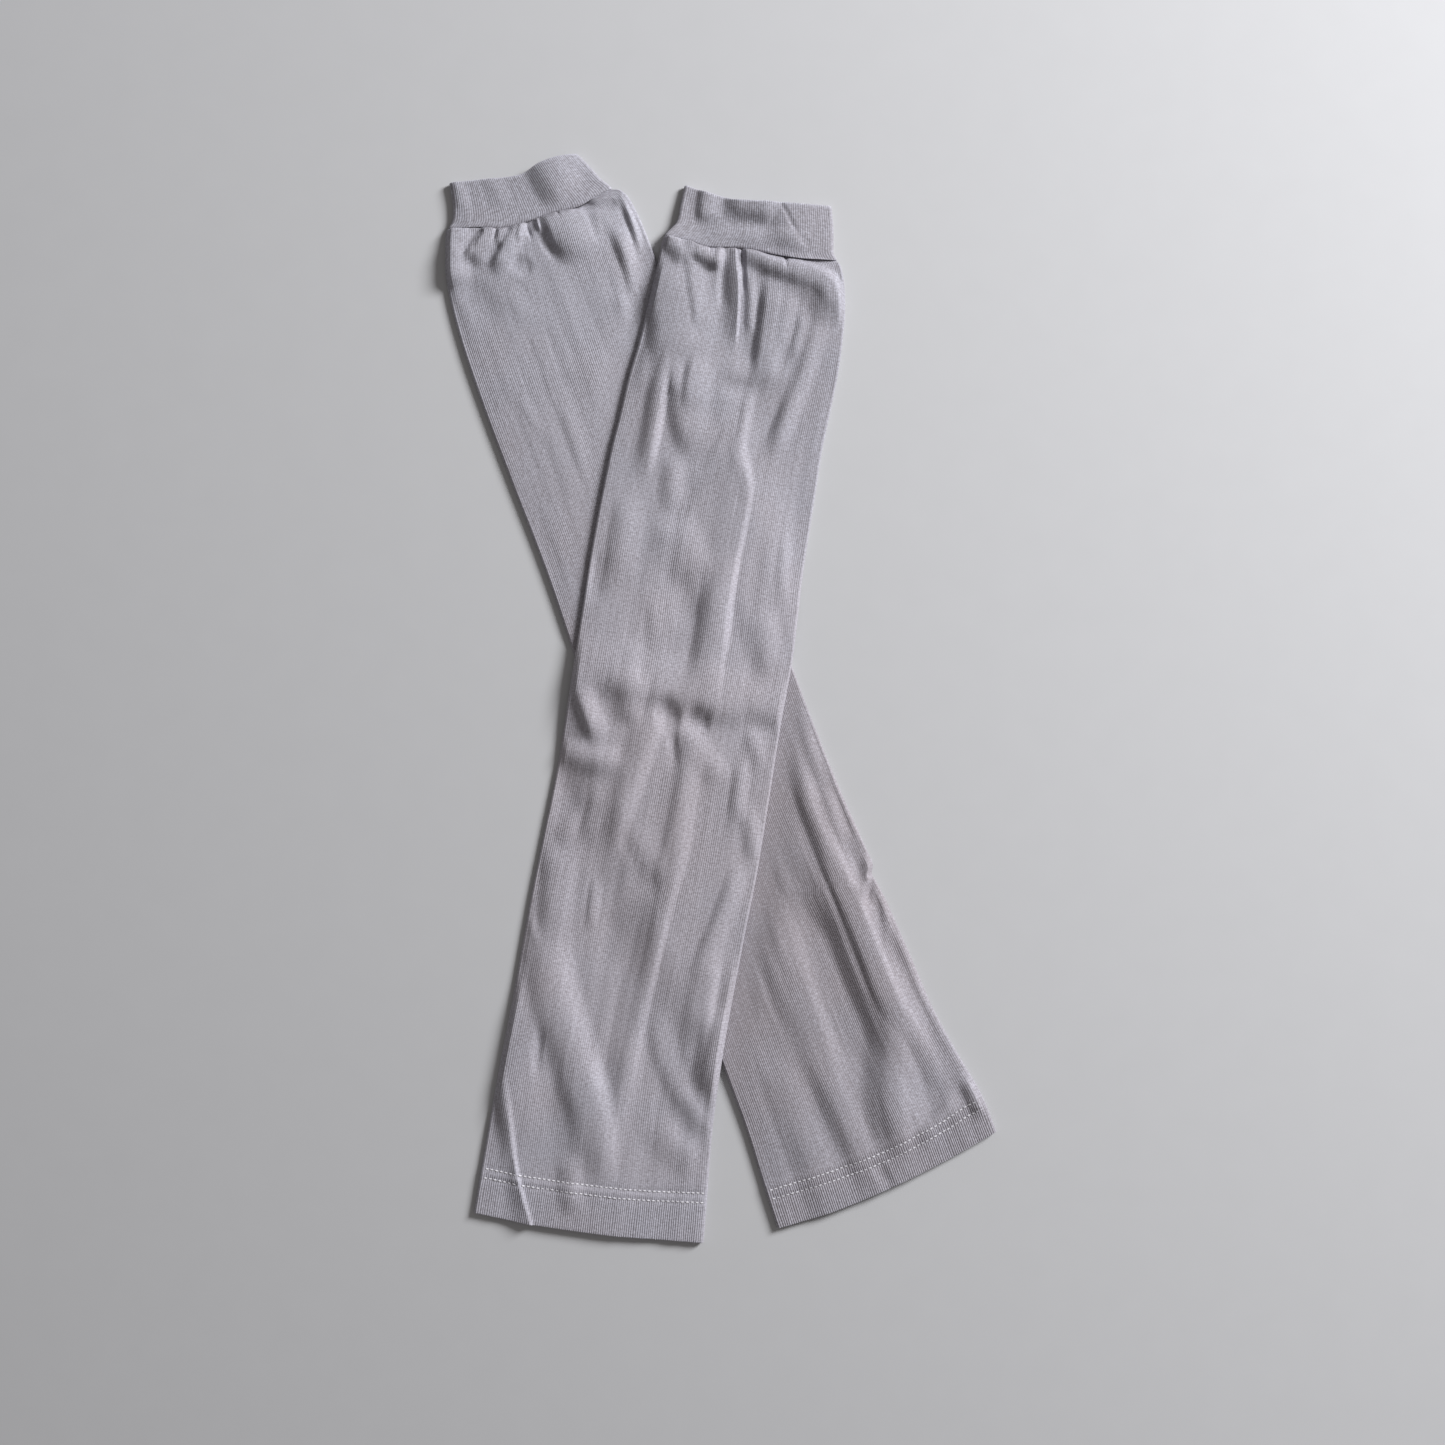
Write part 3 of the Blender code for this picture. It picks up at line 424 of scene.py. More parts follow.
def distanceOutside(sleeve, x, y):
    # how far a point of the table is past a sleeve's outline, below 0 over the sleeve
    along, across = fromTable(sleeve, x, y)
    left = readCurve(sleeve["edges"], along, 1)
    right = readCurve(sleeve["edges"], along, 2)
    past = np.maximum(left - across, across - right)
    return np.maximum(np.maximum(past, sleeve["cuffTop"][0][1] - along), along - sleeve["length"])


# How creases are laid
creasing = {
    "cuffEnd": 4.0,       # one whose last point lies before this is on the cuff
    "pathSteps": 4,       # steps from one of its points to the next
    "headShare": 0.3,     # its strength changes from head to full over this share of its length
    "tailShare": 0.35,    # and from full to tail over this one
    "highest": 4.4,       # limits of all creases together
    "lowest": 1.2,
}


def creasePath(crease):
    # the crease's line as closely spaced points, turned so that its far side is the right
    # edge, or the hem for one that runs across
    points = np.array(crease.points, float)
    head, tail = crease.head, crease.tail
    run = points[-1] - points[0]
    backwards = run[0] < 0 if abs(run[0]) >= abs(run[1]) else run[1] > 0
    if backwards:
        points, head, tail = points[::-1], tail, head
    steps = np.linspace(0, len(points) - 1, (len(points) - 1) * creasing["pathSteps"] + 1)
    columns = [list(zip(range(len(points)), points[:, axis])) for axis in (0, 1)]
    path = np.stack([readCurve(column, steps) for column in columns], axis=1)
    return path, head, tail


def creaseHeight(sleeve, onCuff, along, across):
    height = np.zeros(along.shape)
    for crease in sleeve["creases"]:
        path, head, tail = creasePath(crease)
        reach = max(crease.before, crease.after)
        near = (
            (along > path[:, 0].min() - reach) & (along < path[:, 0].max() + reach)
            & (across > path[:, 1].min() - reach) & (across < path[:, 1].max() + reach)
        )
        if (crease.points[-1][0] < creasing["cuffEnd"]) != onCuff or not near.any():
            continue
        spot = np.stack([along[near], across[near]], axis=1)
        lengths = np.linalg.norm(np.diff(path, axis=0), axis=1)
        walked = np.concatenate([[0.0], np.cumsum(lengths)])
        best = np.full(len(spot), np.inf)
        side, place = np.zeros(len(spot)), np.zeros(len(spot))
        for index, length in enumerate(lengths):
            step = path[index + 1] - path[index]
            part = np.clip((spot - path[index]) @ step / length ** 2, 0.0, 1.0)
            away = spot - path[index] - part[:, None] * step
            distance = np.hypot(away[:, 0], away[:, 1])
            closer = distance < best
            best = np.where(closer, distance, best)
            # -1 square off on the before side, 1 on the after side, between the two round an end
            turned = step[0] * away[:, 1] - step[1] * away[:, 0]
            side = np.where(closer, turned / (length * np.maximum(distance, 1e-6)), side)
            place = np.where(closer, (walked[index] + part * length) / walked[-1], place)
        width = 0.5 * (crease.before + crease.after) + 0.5 * (crease.after - crease.before) * side
        part = np.clip(best / width, 0, 1)
        profile = (1 - crease.sharp) * (1 - part ** 2) ** 2 + crease.sharp * (1 - part) ** 2
        fade = head + (1 - head) * smoothStep(place / creasing["headShare"])
        fade *= tail + (1 - tail) * smoothStep((1 - place) / creasing["tailShare"])
        height[near] += crease.rise * profile * fade
    return height


def limited(height):
    # all creases together stay between the lowest and the highest
    limit = np.where(height > 0, creasing["highest"], creasing["lowest"])
    return height / (1.0 + (height / limit) ** 4) ** 0.25


# How one sleeve lies on the other
crossing = {
    "lift": 2.5,          # underside of the upper sleeve over the lower one
    "liftMargin": 3.0,    # fully lifted out to here past the lower sleeve's edge
    "liftFall": 24.0,     # and down on the table after this much more
    "pressMargin": 4.0,   # the lower sleeve is pressed flat out to here past the upper's edge
    "pressFall": 14.0,
    "tableGap": 0.24,     # the stitches of the underside stand in this
}

# Body of a sleeve: one layer of fine rib, its hem turned up inside
body = {
    "thickness": 2.2,     # two layers and the slit between them
    "wall": 0.7,
    "hemThickness": 2.5,
    "hemWall": 1.05,
    "hemDepth": 22.0,
    "hemBlend": 4.0,      # the hem's extra thickness starts over this length
    "cutWidth": 208.0,    # the tube opened out, on average
    "seamInset": 0.62,    # the edge curls in at the cuff seam
    "rimRadius": 0.62,    # the turned edge of the hem
    "edgeFade": 3.2,      # creases die away this close to a side edge
    "wales": 104,         # ribs across the upper face
    "sideWales": 4,       # ribs round each folded side
    "ribDepth": 0.2,
    "faintRibs": 0.28,    # how much of a rib stays where it shows least
    "armRibs": 0.55,      # and how much more of it shows in the arm and at the hem
    "hemRibs": 1.1,
    "hemRibsStart": 5.0,  # length of the change between the two
    "ribPatches": [(13.0, 26.0, 0.9, 61)],
    "waleWander": 0.19,   # the ribs are not quite evenly spaced
    "course": 0.72,       # one row of loops
    "sideColumns": 7,
    "floorColumns": 52,
    "innerTop": 44,
    "innerFloor": 40,
    "gatherEnd": 46.0,    # rows stand closer down to here
    "gatherStep": 1.5,
    "armStep": 2.95,
    "fineStep": 1.25,
    "hemRows": 30.0,      # and again this near the hem
    "endBlend": 60.0,     # the seam's and the hem's curves fade into straight rows
    "gatherDepth": 0.11,  # small ripples where the knit is drawn into the seam
    "gatherReach": 7.0,
    "ripples": [(1.9, 30.0, 1.0, 5), (0.9, 12.0, 0.7, 9)],
    "reachVaries": [(3.0, 1.0, 0.6, 6)],
    "wavers": [(4.6, 52.0, 0.16, 11), (11.0, 80.0, 0.28, 17), (8.0, 13.0, 0.09, 23)],
    "rollHeight": 0.55,   # the seam's rolled edge
    "rollReach": 2.2,
    "stitchGauge": 4.5,   # between the two rows of stitches
    "stitchDent": 0.32,
    "stitchDentWidth": 0.9,
    "stitchShade": 0.3,
    "seamShadeReach": 1.4,
    "rollHighlight": 0.5,     # painted highlight where the seam's edge rolls out
    "innerStart": 0.1,    # the inside begins this far from the seam
    "innerEnd": 0.9,      # and ends this far from the hem's edge
    "innerClear": 1.5,    # its last full row is at least this far from it
    "innerDrop": 0.15,    # it lies this much lower
    "innerRaised": 0.35,  # it takes this share of a ridge, up to innerHighest
    "innerHighest": 2.0,
    "innerSunk": 1.0,     # and this share of a trough, down to innerLowest
    "innerLowest": 0.6,
}

# Cuff: a firmer rib, folded double, its fold at the free edge
cuff = {
    "thickness": 2.9,
    "wall": 1.2,
    "cutWidth": 148.0,    # the band opened out
    "height": 25.0,
    "seamGap": 0.06,      # between the cuff's edge and the seam's line
    "seamInset": 0.62,
    "rimRadius": 0.8,
    "edgeFade": 3.2,
    "wales": 66,
    "sideWales": 4,
    "ribDepth": 0.11,
    "waleWander": 0.17,
    "course": 0.9,
    "rowStart": 2.2,      # the rows are even from here to the fold
    "rows": 24,
    "innerRows": 14,
    "sideColumns": 7,
    "floorColumns": 40,
    "innerTop": 34,
    "innerFloor": 30,
    "crown": 0.5,
    "seamFold": 0.35,     # the seam holds it flat, down to this share of its creases
    "seamFoldReach": 5.0,
    "sawTooth": 0.12,     # the wales' ends stand out over the seam groove
    "sawToothReach": 0.6,
    "wavers": [(9.0, 7.0, 0.1, 31)],
    "seamShadeReach": 1.2,
    "foldHighlight": 0.8,     # painted highlight on the fold at the free edge, over foldReach
    "foldReach": 1.6,
    "innerStart": 0.1,
    "innerEnd": 1.3,
    "innerDrop": 0.1,
    "innerRaised": 0.175,
    "innerHighest": 9.0,
    "innerSunk": 0.5,
    "innerLowest": 0.4,
}

# distance from the seam, how far the edge curls in there
seamCurl = [(0.0, 1.0), (0.12, 0.62), (0.35, 0.33), (0.7, 0.12), (1.2, 0.03), (2.0, 0.0)]

# each rib strays a little along its length: step of the noise per rib, its size along, its seed
ribStray = [(0.73, 12.0, 41), (0.31, 40.0, 43)]

# Points round one ring: over its top, along its floor and round each side
Columns = namedtuple("Columns", "top floor side ribbed")
ribColumns = 3            # a rib's crest, then its two flanks
innerSide = 3
leastTurn = 0.05          # least radius of a folded side


def outerColumns(spec):
    return Columns(spec["wales"] * ribColumns + 1, spec["floorColumns"], spec["sideColumns"], True)


def innerColumns(spec):
    return Columns(spec["innerTop"], spec["innerFloor"], innerSide, False)


def topOf(columns):
    start = columns.floor + columns.side
    return slice(start, start + columns.top)


def floorHeight(sleeve, x, y):
    if sleeve is underSleeve:
        return np.full(x.shape, crossing["tableGap"])
    past = distanceOutside(underSleeve, x, y) - crossing["liftMargin"]
    return crossing["tableGap"] + crossing["lift"] * (1.0 - smoothStep(past / crossing["liftFall"]))


def freedom(sleeve, x, y):
    # 1 where the upper layer is free to fold, 0 where the other sleeve presses it flat
    if sleeve is overSleeve:
        return np.ones(x.shape)
    past = distanceOutside(overSleeve, x, y) - crossing["pressMargin"]
    return smoothStep(past / crossing["pressFall"])


def crowned(share):
    # 1 in the middle of a sleeve, down to 0 at its side edges
    return 1.0 - np.abs(2.0 * share - 1.0) ** 3


def seamDepth(sleeve, share):
    return readCurve(sleeve["seamLine"], share, 1)


def seamRise(sleeve, spec, station, share):
    # the groove is as deep as the seam line's table says, and its edge rolls out in places
    curl = np.interp(station, [row[0] for row in seamCurl], [row[1] for row in seamCurl])
    return spec["seamInset"] * curl * (1.0 - seamDepth(sleeve, share))


def innerRise(sleeve, spec, onCuff, along, across):
    fold = creaseHeight(sleeve, onCuff, along, across)
    raised = spec["innerRaised"] * np.minimum(fold, spec["innerHighest"])
    sunk = spec["innerSunk"] * np.maximum(fold, -spec["innerLowest"])
    return np.where(fold > 0, raised, sunk) - spec["innerDrop"]


def ribRelief(spec):
    crest = np.arange(outerColumns(spec).top) % ribColumns == 0
    return np.where(crest, 0.0, -spec["ribDepth"])


def ribClearness(sleeve, station, along, across):
    # the ribs show plainly below the stitches, and faintly, in patches, in the arm
    hem = smoothStep((station - sleeve["length"] + body["hemDepth"]) / body["hemRibsStart"])
    patch = 0.5 + unevenness(body["ribPatches"], across, along)
    shown = np.maximum(patch * body["armRibs"], hem * body["hemRibs"])
    shown = np.clip(shown, 0.0, body["hemRibs"])
    return body["faintRibs"] + (1.0 - body["faintRibs"]) * shown


def rimRows(end, radius):
    # stations and insets round an edge that ends there
    turns = [math.radians(turn) for turn in (0.0, 22.5, 45.0, 67.5, 90.0)]
    return [(end - radius + radius * math.sin(turn), radius * (1 - math.cos(turn))) for turn in turns]


def bodyRows(sleeve):
    # stations from the seam to the hem, each with how far its ring is drawn in
    length, radius = sleeve["length"], body["rimRadius"]
    rows = [(station, inset * body["seamInset"]) for station, inset in seamCurl[:-1]]
    start, hemStart = body["gatherEnd"], length - body["hemRows"]
    spans = [(seamCurl[-1][0], start, body["gatherStep"])]
    for fineStart, fineEnd in sleeve["fineRows"]:
        spans += [(start, fineStart, body["armStep"]), (fineStart, fineEnd, body["fineStep"])]
        start = fineEnd
    spans += [(start, hemStart, body["armStep"]), (hemStart, length - radius, body["fineStep"])]
    for start, end, step in spans:
        count = round((end - start) / step)
        rows += [(start + (end - start) * index / count, 0.0) for index in range(count)]
    return np.array(rows + rimRows(length, radius))


def bodyAlong(sleeve, station, share):
    # the first and last rows follow the seam's and the hem's own curves
    nearSeam = 1.0 - smoothStep(station / body["endBlend"])
    nearHem = smoothStep(1.0 - (sleeve["length"] - station) / body["endBlend"])
    hem = readCurve(sleeve["hem"], share) - sleeve["length"]
    return station + readCurve(sleeve["seam"], share) * nearSeam + hem * nearHem


def stitchLines(sleeve, along, across):
    # 1 along the middle of each row of hem stitches
    rowAlong = readCurve(sleeve["stitchRow"], across)
    return sum(
        np.exp(-((along - rowAlong - gap) / body["stitchDentWidth"]) ** 2)
        for gap in (0.0, body["stitchGauge"])
    )


def bodyFine(sleeve, station, along, across, share):
    # small ripples drawn into the seam, dents at the hem stitches and a little unevenness
    gather = unevenness(body["ripples"], across, station) * readCurve(sleeve["seamLine"], share, 2)
    reach = body["gatherReach"] * (1.0 + unevenness(body["reachVaries"], across, 0 * across))
    height = body["gatherDepth"] * gather * (1.0 - smoothStep(station / reach)) ** 1.5
    roll = readCurve(sleeve["seamLine"], share, 3) * (1.0 - smoothStep(station / body["rollReach"]))
    height += body["rollHeight"] * roll + seamRise(sleeve, body, station, share)
    height -= body["stitchDent"] * stitchLines(sleeve, along, across)
    return height + unevenness(body["wavers"], across, along)


def tubePoints(sleeve, spec, columns, station, inset, edges, layers, alongOf, riseOf):
    # rings of points, one row each, from the lower left round to the upper left
    left, right, thickness, wall = [values[:, None] for values in (*edges, *layers)]
    low = inset[:, None] + wall
    high = thickness - low
    turn = np.maximum(0.5 * (high - low), leastTurn)
    first, last = left + low + turn, right - low - turn
    angles = np.radians(np.linspace(-90, 90, columns.side + 2)[1:-1])
    under = first + (last - first) * np.linspace(0, 1, columns.floor)
    over = last + (first - last) * np.linspace(0, 1, columns.top)
    across = np.hstack([
        under, last + turn * np.cos(angles), over, first - turn * np.cos(angles),
    ])
    side = 0.5 * (low + high) + turn * np.sin(angles)
    local = np.hstack([low + 0 * under, side, high + 0 * over, side[:, ::-1]])
    share = (across - left) / (right - left)
    stations = np.broadcast_to(station[:, None], across.shape)
    top = topOf(columns)
    rib = np.broadcast_to(np.arange(columns.top) // ribColumns, over.shape)
    stray = sum(softNoise(rib * step, stations[:, top] / size, seed) for step, size, seed in ribStray)
    across[:, top] += spec["waleWander"] * stray * columns.ribbed
    along = alongOf(stations, share)
    x, y = toTable(sleeve, along, across)
    edge = smoothStep(np.minimum(across - left, right - across)[:, top] / spec["edgeFade"])
    rise = riseOf(stations[:, top], along[:, top], across[:, top], share[:, top])
    local[:, top] += rise * edge * freedom(sleeve, x[:, top], y[:, top])
    points = np.stack([x, y, floorHeight(sleeve, x, y) + local], axis=2)
    return points, along, share


def walesRound(spec, columns):
    # the rib count at each column, running on right round the tube
    wales, side = spec["wales"], spec["sideWales"]
    sidePart = np.linspace(0, side, columns.side + 2)[1:-1]
    return np.concatenate([
        np.linspace(0, wales, columns.floor), wales + sidePart,
        wales + side + np.linspace(0, wales, columns.top), 2 * wales + side + sidePart,
        [2 * (wales + side)],
    ])


def meshFrom(name, shape):
    mesh = bpy.data.meshes.new(name)
    shape.to_mesh(mesh)
    shape.free()
    return mesh


def addObject(name, data):
    added = bpy.data.objects.new(name, data)
    bpy.context.scene.collection.objects.link(added)
    return added


def addPiece(name, shape):
    mesh = meshFrom(name, shape)
    mesh.shade_smooth()
    return addObject(name, mesh)


def gridMesh(name, sleeve, spec, columns, points, along, paintedShading, clearness):
    # a grid wrapped into a tube; its last column meets the first
    def closed(values):
        return np.concatenate([values, values[:, :1]], axis=1)

    rows, around = points.shape[:2]
    grid = bmesh.new()
    bmesh.ops.create_grid(grid, x_segments=around, y_segments=rows - 1, size=0.5)
    mesh = meshFrom(name, grid)
    mesh.vertices.foreach_set("co", (closed(points) * mm).ravel())
    corners = np.zeros(len(mesh.loops), int)
    mesh.loops.foreach_get("vertex_index", corners)
    wales = np.tile(walesRound(spec, columns), rows)
    place = np.stack([wales[corners], (closed(along) / spec["course"]).ravel()[corners]], axis=1)
    mesh.uv_layers.new(name="knit").data.foreach_set("uv", place.ravel())
    # painted shade and light, how clearly the ribs show, and the painted warmth of the light, per point
    attributes = {
        "paintedShading": paintedShading + readCurve(sleeve["paintedShadingAlong"], along, 1),
        "ribs": clearness,
        "paintedWarmth": readCurve(sleeve["paintedShadingAlong"], along, 2),
    }
    for attribute, values in attributes.items():
        layer = mesh.attributes.new(attribute, "FLOAT", "POINT").data
        layer.foreach_set("value", closed(values).ravel())
    return mesh


def closeWall(name, sleeve, outer, inner, split):
    # join the outer and inner tubes at both ends into one closed wall
    wall = bmesh.new()
    wall.from_mesh(outer)
    wall.from_mesh(inner)
    bmesh.ops.remove_doubles(wall, verts=wall.verts[:], dist=1e-7)
    ends = {True: [], False: []}
    for edge in wall.edges:
        if edge.is_boundary:
            middle = (edge.verts[0].co + edge.verts[1].co) / 2 / mm
            along = fromTable(sleeve, middle.x, middle.y)[0]
            ends[bool(along > split)].append(edge)
    for edges in ends.values():
        bmesh.ops.bridge_loops(wall, edges=edges)
    bmesh.ops.recalc_face_normals(wall, faces=wall.faces[:])
    for spare in (outer, inner):
        bpy.data.meshes.remove(spare)
    return addPiece(name, wall)


def addBody(sleeve):
    length = sleeve["length"]
    name = sleeve["name"] + "_knit"

    def edgesAt(stations):
        return readCurve(sleeve["edges"], stations, 1), readCurve(sleeve["edges"], stations, 2)

    def layersAt(stations):
        hem = smoothStep((stations - length + body["hemDepth"]) / body["hemBlend"] + 0.5)
        return (
            body["thickness"] + (body["hemThickness"] - body["thickness"]) * hem,
            body["wall"] + (body["hemWall"] - body["wall"]) * hem,
        )

    def alongOf(stations, share):
        return bodyAlong(sleeve, stations, share)

    def broad(stations, share):
        return readCurve(sleeve["edges"], stations, 3) * crowned(share)

    def outside(stations, along, across, share):
        fold = creaseHeight(sleeve, False, along, across)
        fold = limited(fold + bodyFine(sleeve, stations, along, across, share))
        return broad(stations, share) + fold + ribRelief(body) * ribClearness(
            sleeve, stations, along, across,
        )

    def inside(stations, along, across, share):
        return broad(stations, share) + innerRise(sleeve, body, False, along, across)

    columns = outerColumns(body)
    station, inset = bodyRows(sleeve).T
    edges, (thickness, wall) = edgesAt(station), layersAt(station)
    points, along, share = tubePoints(
        sleeve, body, columns, station, inset, edges, (thickness, 0 * wall), alongOf, outside,
    )
    across = edges[0][:, None] + share * (edges[1] - edges[0])[:, None]
    # painted shade in the seam's groove, as deep as the seam line says, and a painted highlight where its
    # edge rolls out
    nearSeam = 1.0 - smoothStep(station / body["seamShadeReach"])[:, None]
    roll = readCurve(sleeve["seamLine"], share, 3)
    paintedShading = (body["rollHighlight"] * roll - seamDepth(sleeve, share)) * nearSeam
    # painted highlight on the hem's turned edge
    paintedShading += ((inset > 0) & (station > body["gatherEnd"]))[:, None]
    top = topOf(columns)
    # painted shade along the dents of the hem stitches
    paintedShading[:, top] -= body["stitchShade"] * stitchLines(sleeve, along[:, top], across[:, top])
    clearness = ribClearness(sleeve, station[:, None], along, across)
    outer = gridMesh(name + "_outer", sleeve, body, columns, points, along, paintedShading, clearness)

    # the inside has every other row, and is a little shorter at both ends
    columns = innerColumns(body)
    station = station[::2]
    station = np.append(station[station < length - body["innerClear"]], length - body["innerEnd"])
    station[0] = body["innerStart"]
    points, along, share = tubePoints(
        sleeve, body, columns, station, 0 * station, edgesAt(station), layersAt(station), alongOf, inside,
    )
    inner = gridMesh(name + "_inner", sleeve, body, columns, points, along, 0 * along, 0 * along + 1)
    return closeWall(name, sleeve, outer, inner, 0.5 * length)


def addCuff(sleeve):
    name = sleeve["name"] + "_band"
    middle = readPlace(sleeve["seam"], 0.5) - readPlace(sleeve["cuffTop"], 0.5)

    def edgesAt(stations):
        part = stations / middle
        return readCurve(sleeve["cuffEdges"], part, 1), readCurve(sleeve["cuffEdges"], part, 2)

    def alongOf(stations, share):
        # stations are heights above the seam, scaled to the cuff's height at this share
        seam = readCurve(sleeve["seam"], share) - cuff["seamGap"]
        return seam + (readCurve(sleeve["cuffTop"], share) - seam) * stations / middle

    def toothedAlong(stations, share):
        tooth = np.zeros(share.shape)
        tooth[:, topOf(columns)] = np.arange(columns.top) % ribColumns == 0
        tooth *= 1.0 - smoothStep(stations / cuff["sawToothReach"])
        return alongOf(stations, share) + cuff["sawTooth"] * tooth * seamDepth(sleeve, share)

    def broad(share):
        return cuff["crown"] * crowned(share)

    def outside(stations, along, across, share):
        fold = creaseHeight(sleeve, True, along, across)
        fold = limited(fold + unevenness(cuff["wavers"], across, stations))
        held = smoothStep(stations / cuff["seamFoldReach"])
        fold *= cuff["seamFold"] + (1.0 - cuff["seamFold"]) * held
        return broad(share) + fold + seamRise(sleeve, cuff, stations, share) + ribRelief(cuff)

    def inside(stations, along, across, share):
        return broad(share) + innerRise(sleeve, cuff, True, along, across)

    columns = outerColumns(cuff)
    start, end = cuff["rowStart"], middle - cuff["rimRadius"]
    rows = [(height, inset * cuff["seamInset"]) for height, inset in seamCurl[:-1]]
    rows += [(start + (end - start) * index / cuff["rows"], 0.0) for index in range(cuff["rows"])]
    station, inset = np.array(rows + rimRows(middle, cuff["rimRadius"])).T
    thickness = np.full(station.shape, cuff["thickness"])
    points, along, share = tubePoints(
        sleeve, cuff, columns, station, inset, edgesAt(station), (thickness, 0 * thickness),
        toothedAlong, outside,
    )
    # painted shade in the seam's groove and a painted highlight on the fold at the free edge
    nearSeam = 1.0 - smoothStep(station / cuff["seamShadeReach"])[:, None]
    nearFold = smoothStep((station - middle + cuff["foldReach"]) / cuff["foldReach"])[:, None]
    paintedShading = nearFold * cuff["foldHighlight"] - seamDepth(sleeve, share) * nearSeam
    outer = gridMesh(name + "_outer", sleeve, cuff, columns, points, along, paintedShading, 0 * along + 0.5)

    columns = innerColumns(cuff)
    station = np.linspace(cuff["innerStart"], middle - cuff["innerEnd"], cuff["innerRows"])
    thickness = np.full(station.shape, cuff["thickness"])
    points, along, share = tubePoints(
        sleeve, cuff, columns, station, 0 * station, edgesAt(station),
        (thickness, 0 * thickness + cuff["wall"]), alongOf, inside,
    )
    inner = gridMesh(name + "_inner", sleeve, cuff, columns, points, along, 0 * along, 0 * along + 1)
    split = 0.5 * (sleeve["seam"][3][1] + sleeve["cuffTop"][2][1])
    return closeWall(name, sleeve, outer, inner, split)


# Twin-needle stitching round the hem
stitch = {
    "pitch": 2.3,
    "length": 2.2,
    "width": 0.86,
    "height": 0.56,
    "sink": 0.05,
    "wander": 0.12,
    "edgeMargin": 1.6,
    "fromEdge": 19.0,     # where a sleeve's width is read for the upper row
    "outside": 0.05,      # metres from the table to where the cloth is looked for
    "around": 10,
    "rings": 6,
    "holeStart": 0.45,    # share of the half stitch where the painted shade of the needle hole begins
    "holeBlend": 0.3,
}


def stitchEnds(sleeve, surface, gap, down, middle, chance):
    # where a stitch's two ends meet the cloth, each with the cloth's normal there
    ends = []
    for side in (-0.5, 0.5):
        across = middle + side * stitch["length"]
        along = readPlace(sleeve["stitchRow"], across) + gap
        along += stitch["wander"] * chance.uniform(-1, 1)
        x, y = toTable(sleeve, along, across)
        upwards = -1 if down else 1
        start = Vector((x * mm, y * mm, -upwards * stitch["outside"]))
        ends.append(surface.ray_cast(start, Vector((0, 0, upwards)))[:2])
    return ends


def addStitch(thread, holeShade, ends):
    # a bead of thread that lies on the cloth between its two holes
    (startPoint, startNormal), (endPoint, endNormal) = ends
    run = endPoint - startPoint
    normal = (startNormal + endNormal).normalized()
    sideways = normal.cross(run).normalized()
    upright = run.cross(sideways).normalized()
    if upright.dot(normal) < 0:
        upright.negate()
    centre = (startPoint + endPoint) / 2 - upright * stitch["sink"] * mm
    size = Matrix.Diagonal((
        run.length / 2, stitch["width"] / 2 * mm, stitch["height"] / 2 * mm, 1.0,
    ))
    turn = Matrix((run.normalized(), sideways, upright)).transposed().to_4x4()
    bead = bmesh.ops.create_uvsphere(
        thread, u_segments=stitch["around"], v_segments=stitch["rings"], radius=1.0,
        matrix=Matrix.Translation(centre) @ turn @ size,
    )
    # painted shade of the needle holes towards each end of the bead
    for vert in bead["verts"]:
        reach = abs((vert.co - centre).dot(run)) / (run.length_squared / 2)
        vert[holeShade] = min(max((reach - stitch["holeStart"]) / stitch["holeBlend"], 0.0), 1.0)


def addStitches(sleeve, bodyPiece):
    bodyMesh = bmesh.new()
    bodyMesh.from_mesh(bodyPiece.data)
    surface = BVHTree.FromBMesh(bodyMesh)
    bodyMesh.free()
    thread = bmesh.new()
    holeShade = thread.verts.layers.float.new("hole")
    chance = np.random.default_rng(7)
    for gap in (0.0, body["stitchGauge"]):
        hemAlong = sleeve["length"] - stitch["fromEdge"] + gap
        left = readPlace(sleeve["edges"], hemAlong, 1) + stitch["edgeMargin"]
        right = readPlace(sleeve["edges"], hemAlong, 2) - stitch["edgeMargin"]
        count = int((right - left) / stitch["pitch"])
        for down in (True, False):
            for index in range(count):
                middle = left + (index + 0.5) * (right - left) / count
                ends = stitchEnds(sleeve, surface, gap, down, middle, chance)
                if ends[0][0] is not None and ends[1][0] is not None:
                    addStitch(thread, holeShade, ends)
    bmesh.ops.recalc_face_normals(thread, faces=thread.faces[:])
    return addPiece(sleeve["name"] + "_stitching", thread)


class Field:
    # a number that varies over the surface; arithmetic on it adds Math nodes
    def __init__(self, maker, socket):
        self.maker = maker
        self.socket = socket

    def math(self, operation, *others):
        values = dict(enumerate((self, *others)))
        return self.maker.number("ShaderNodeMath", {"operation": operation}, values)

    def __add__(self, other):
        return self.math("ADD", other)

    def __sub__(self, other):
        return self.math("SUBTRACT", other)

    def __rsub__(self, other):
        return self.math("MULTIPLY", -1.0).math("ADD", other)

    def __mul__(self, other):
        return self.math("MULTIPLY", other)

    def __pow__(self, other):
        return self.math("POWER", other)

    __radd__ = __add__
    __rmul__ = __mul__


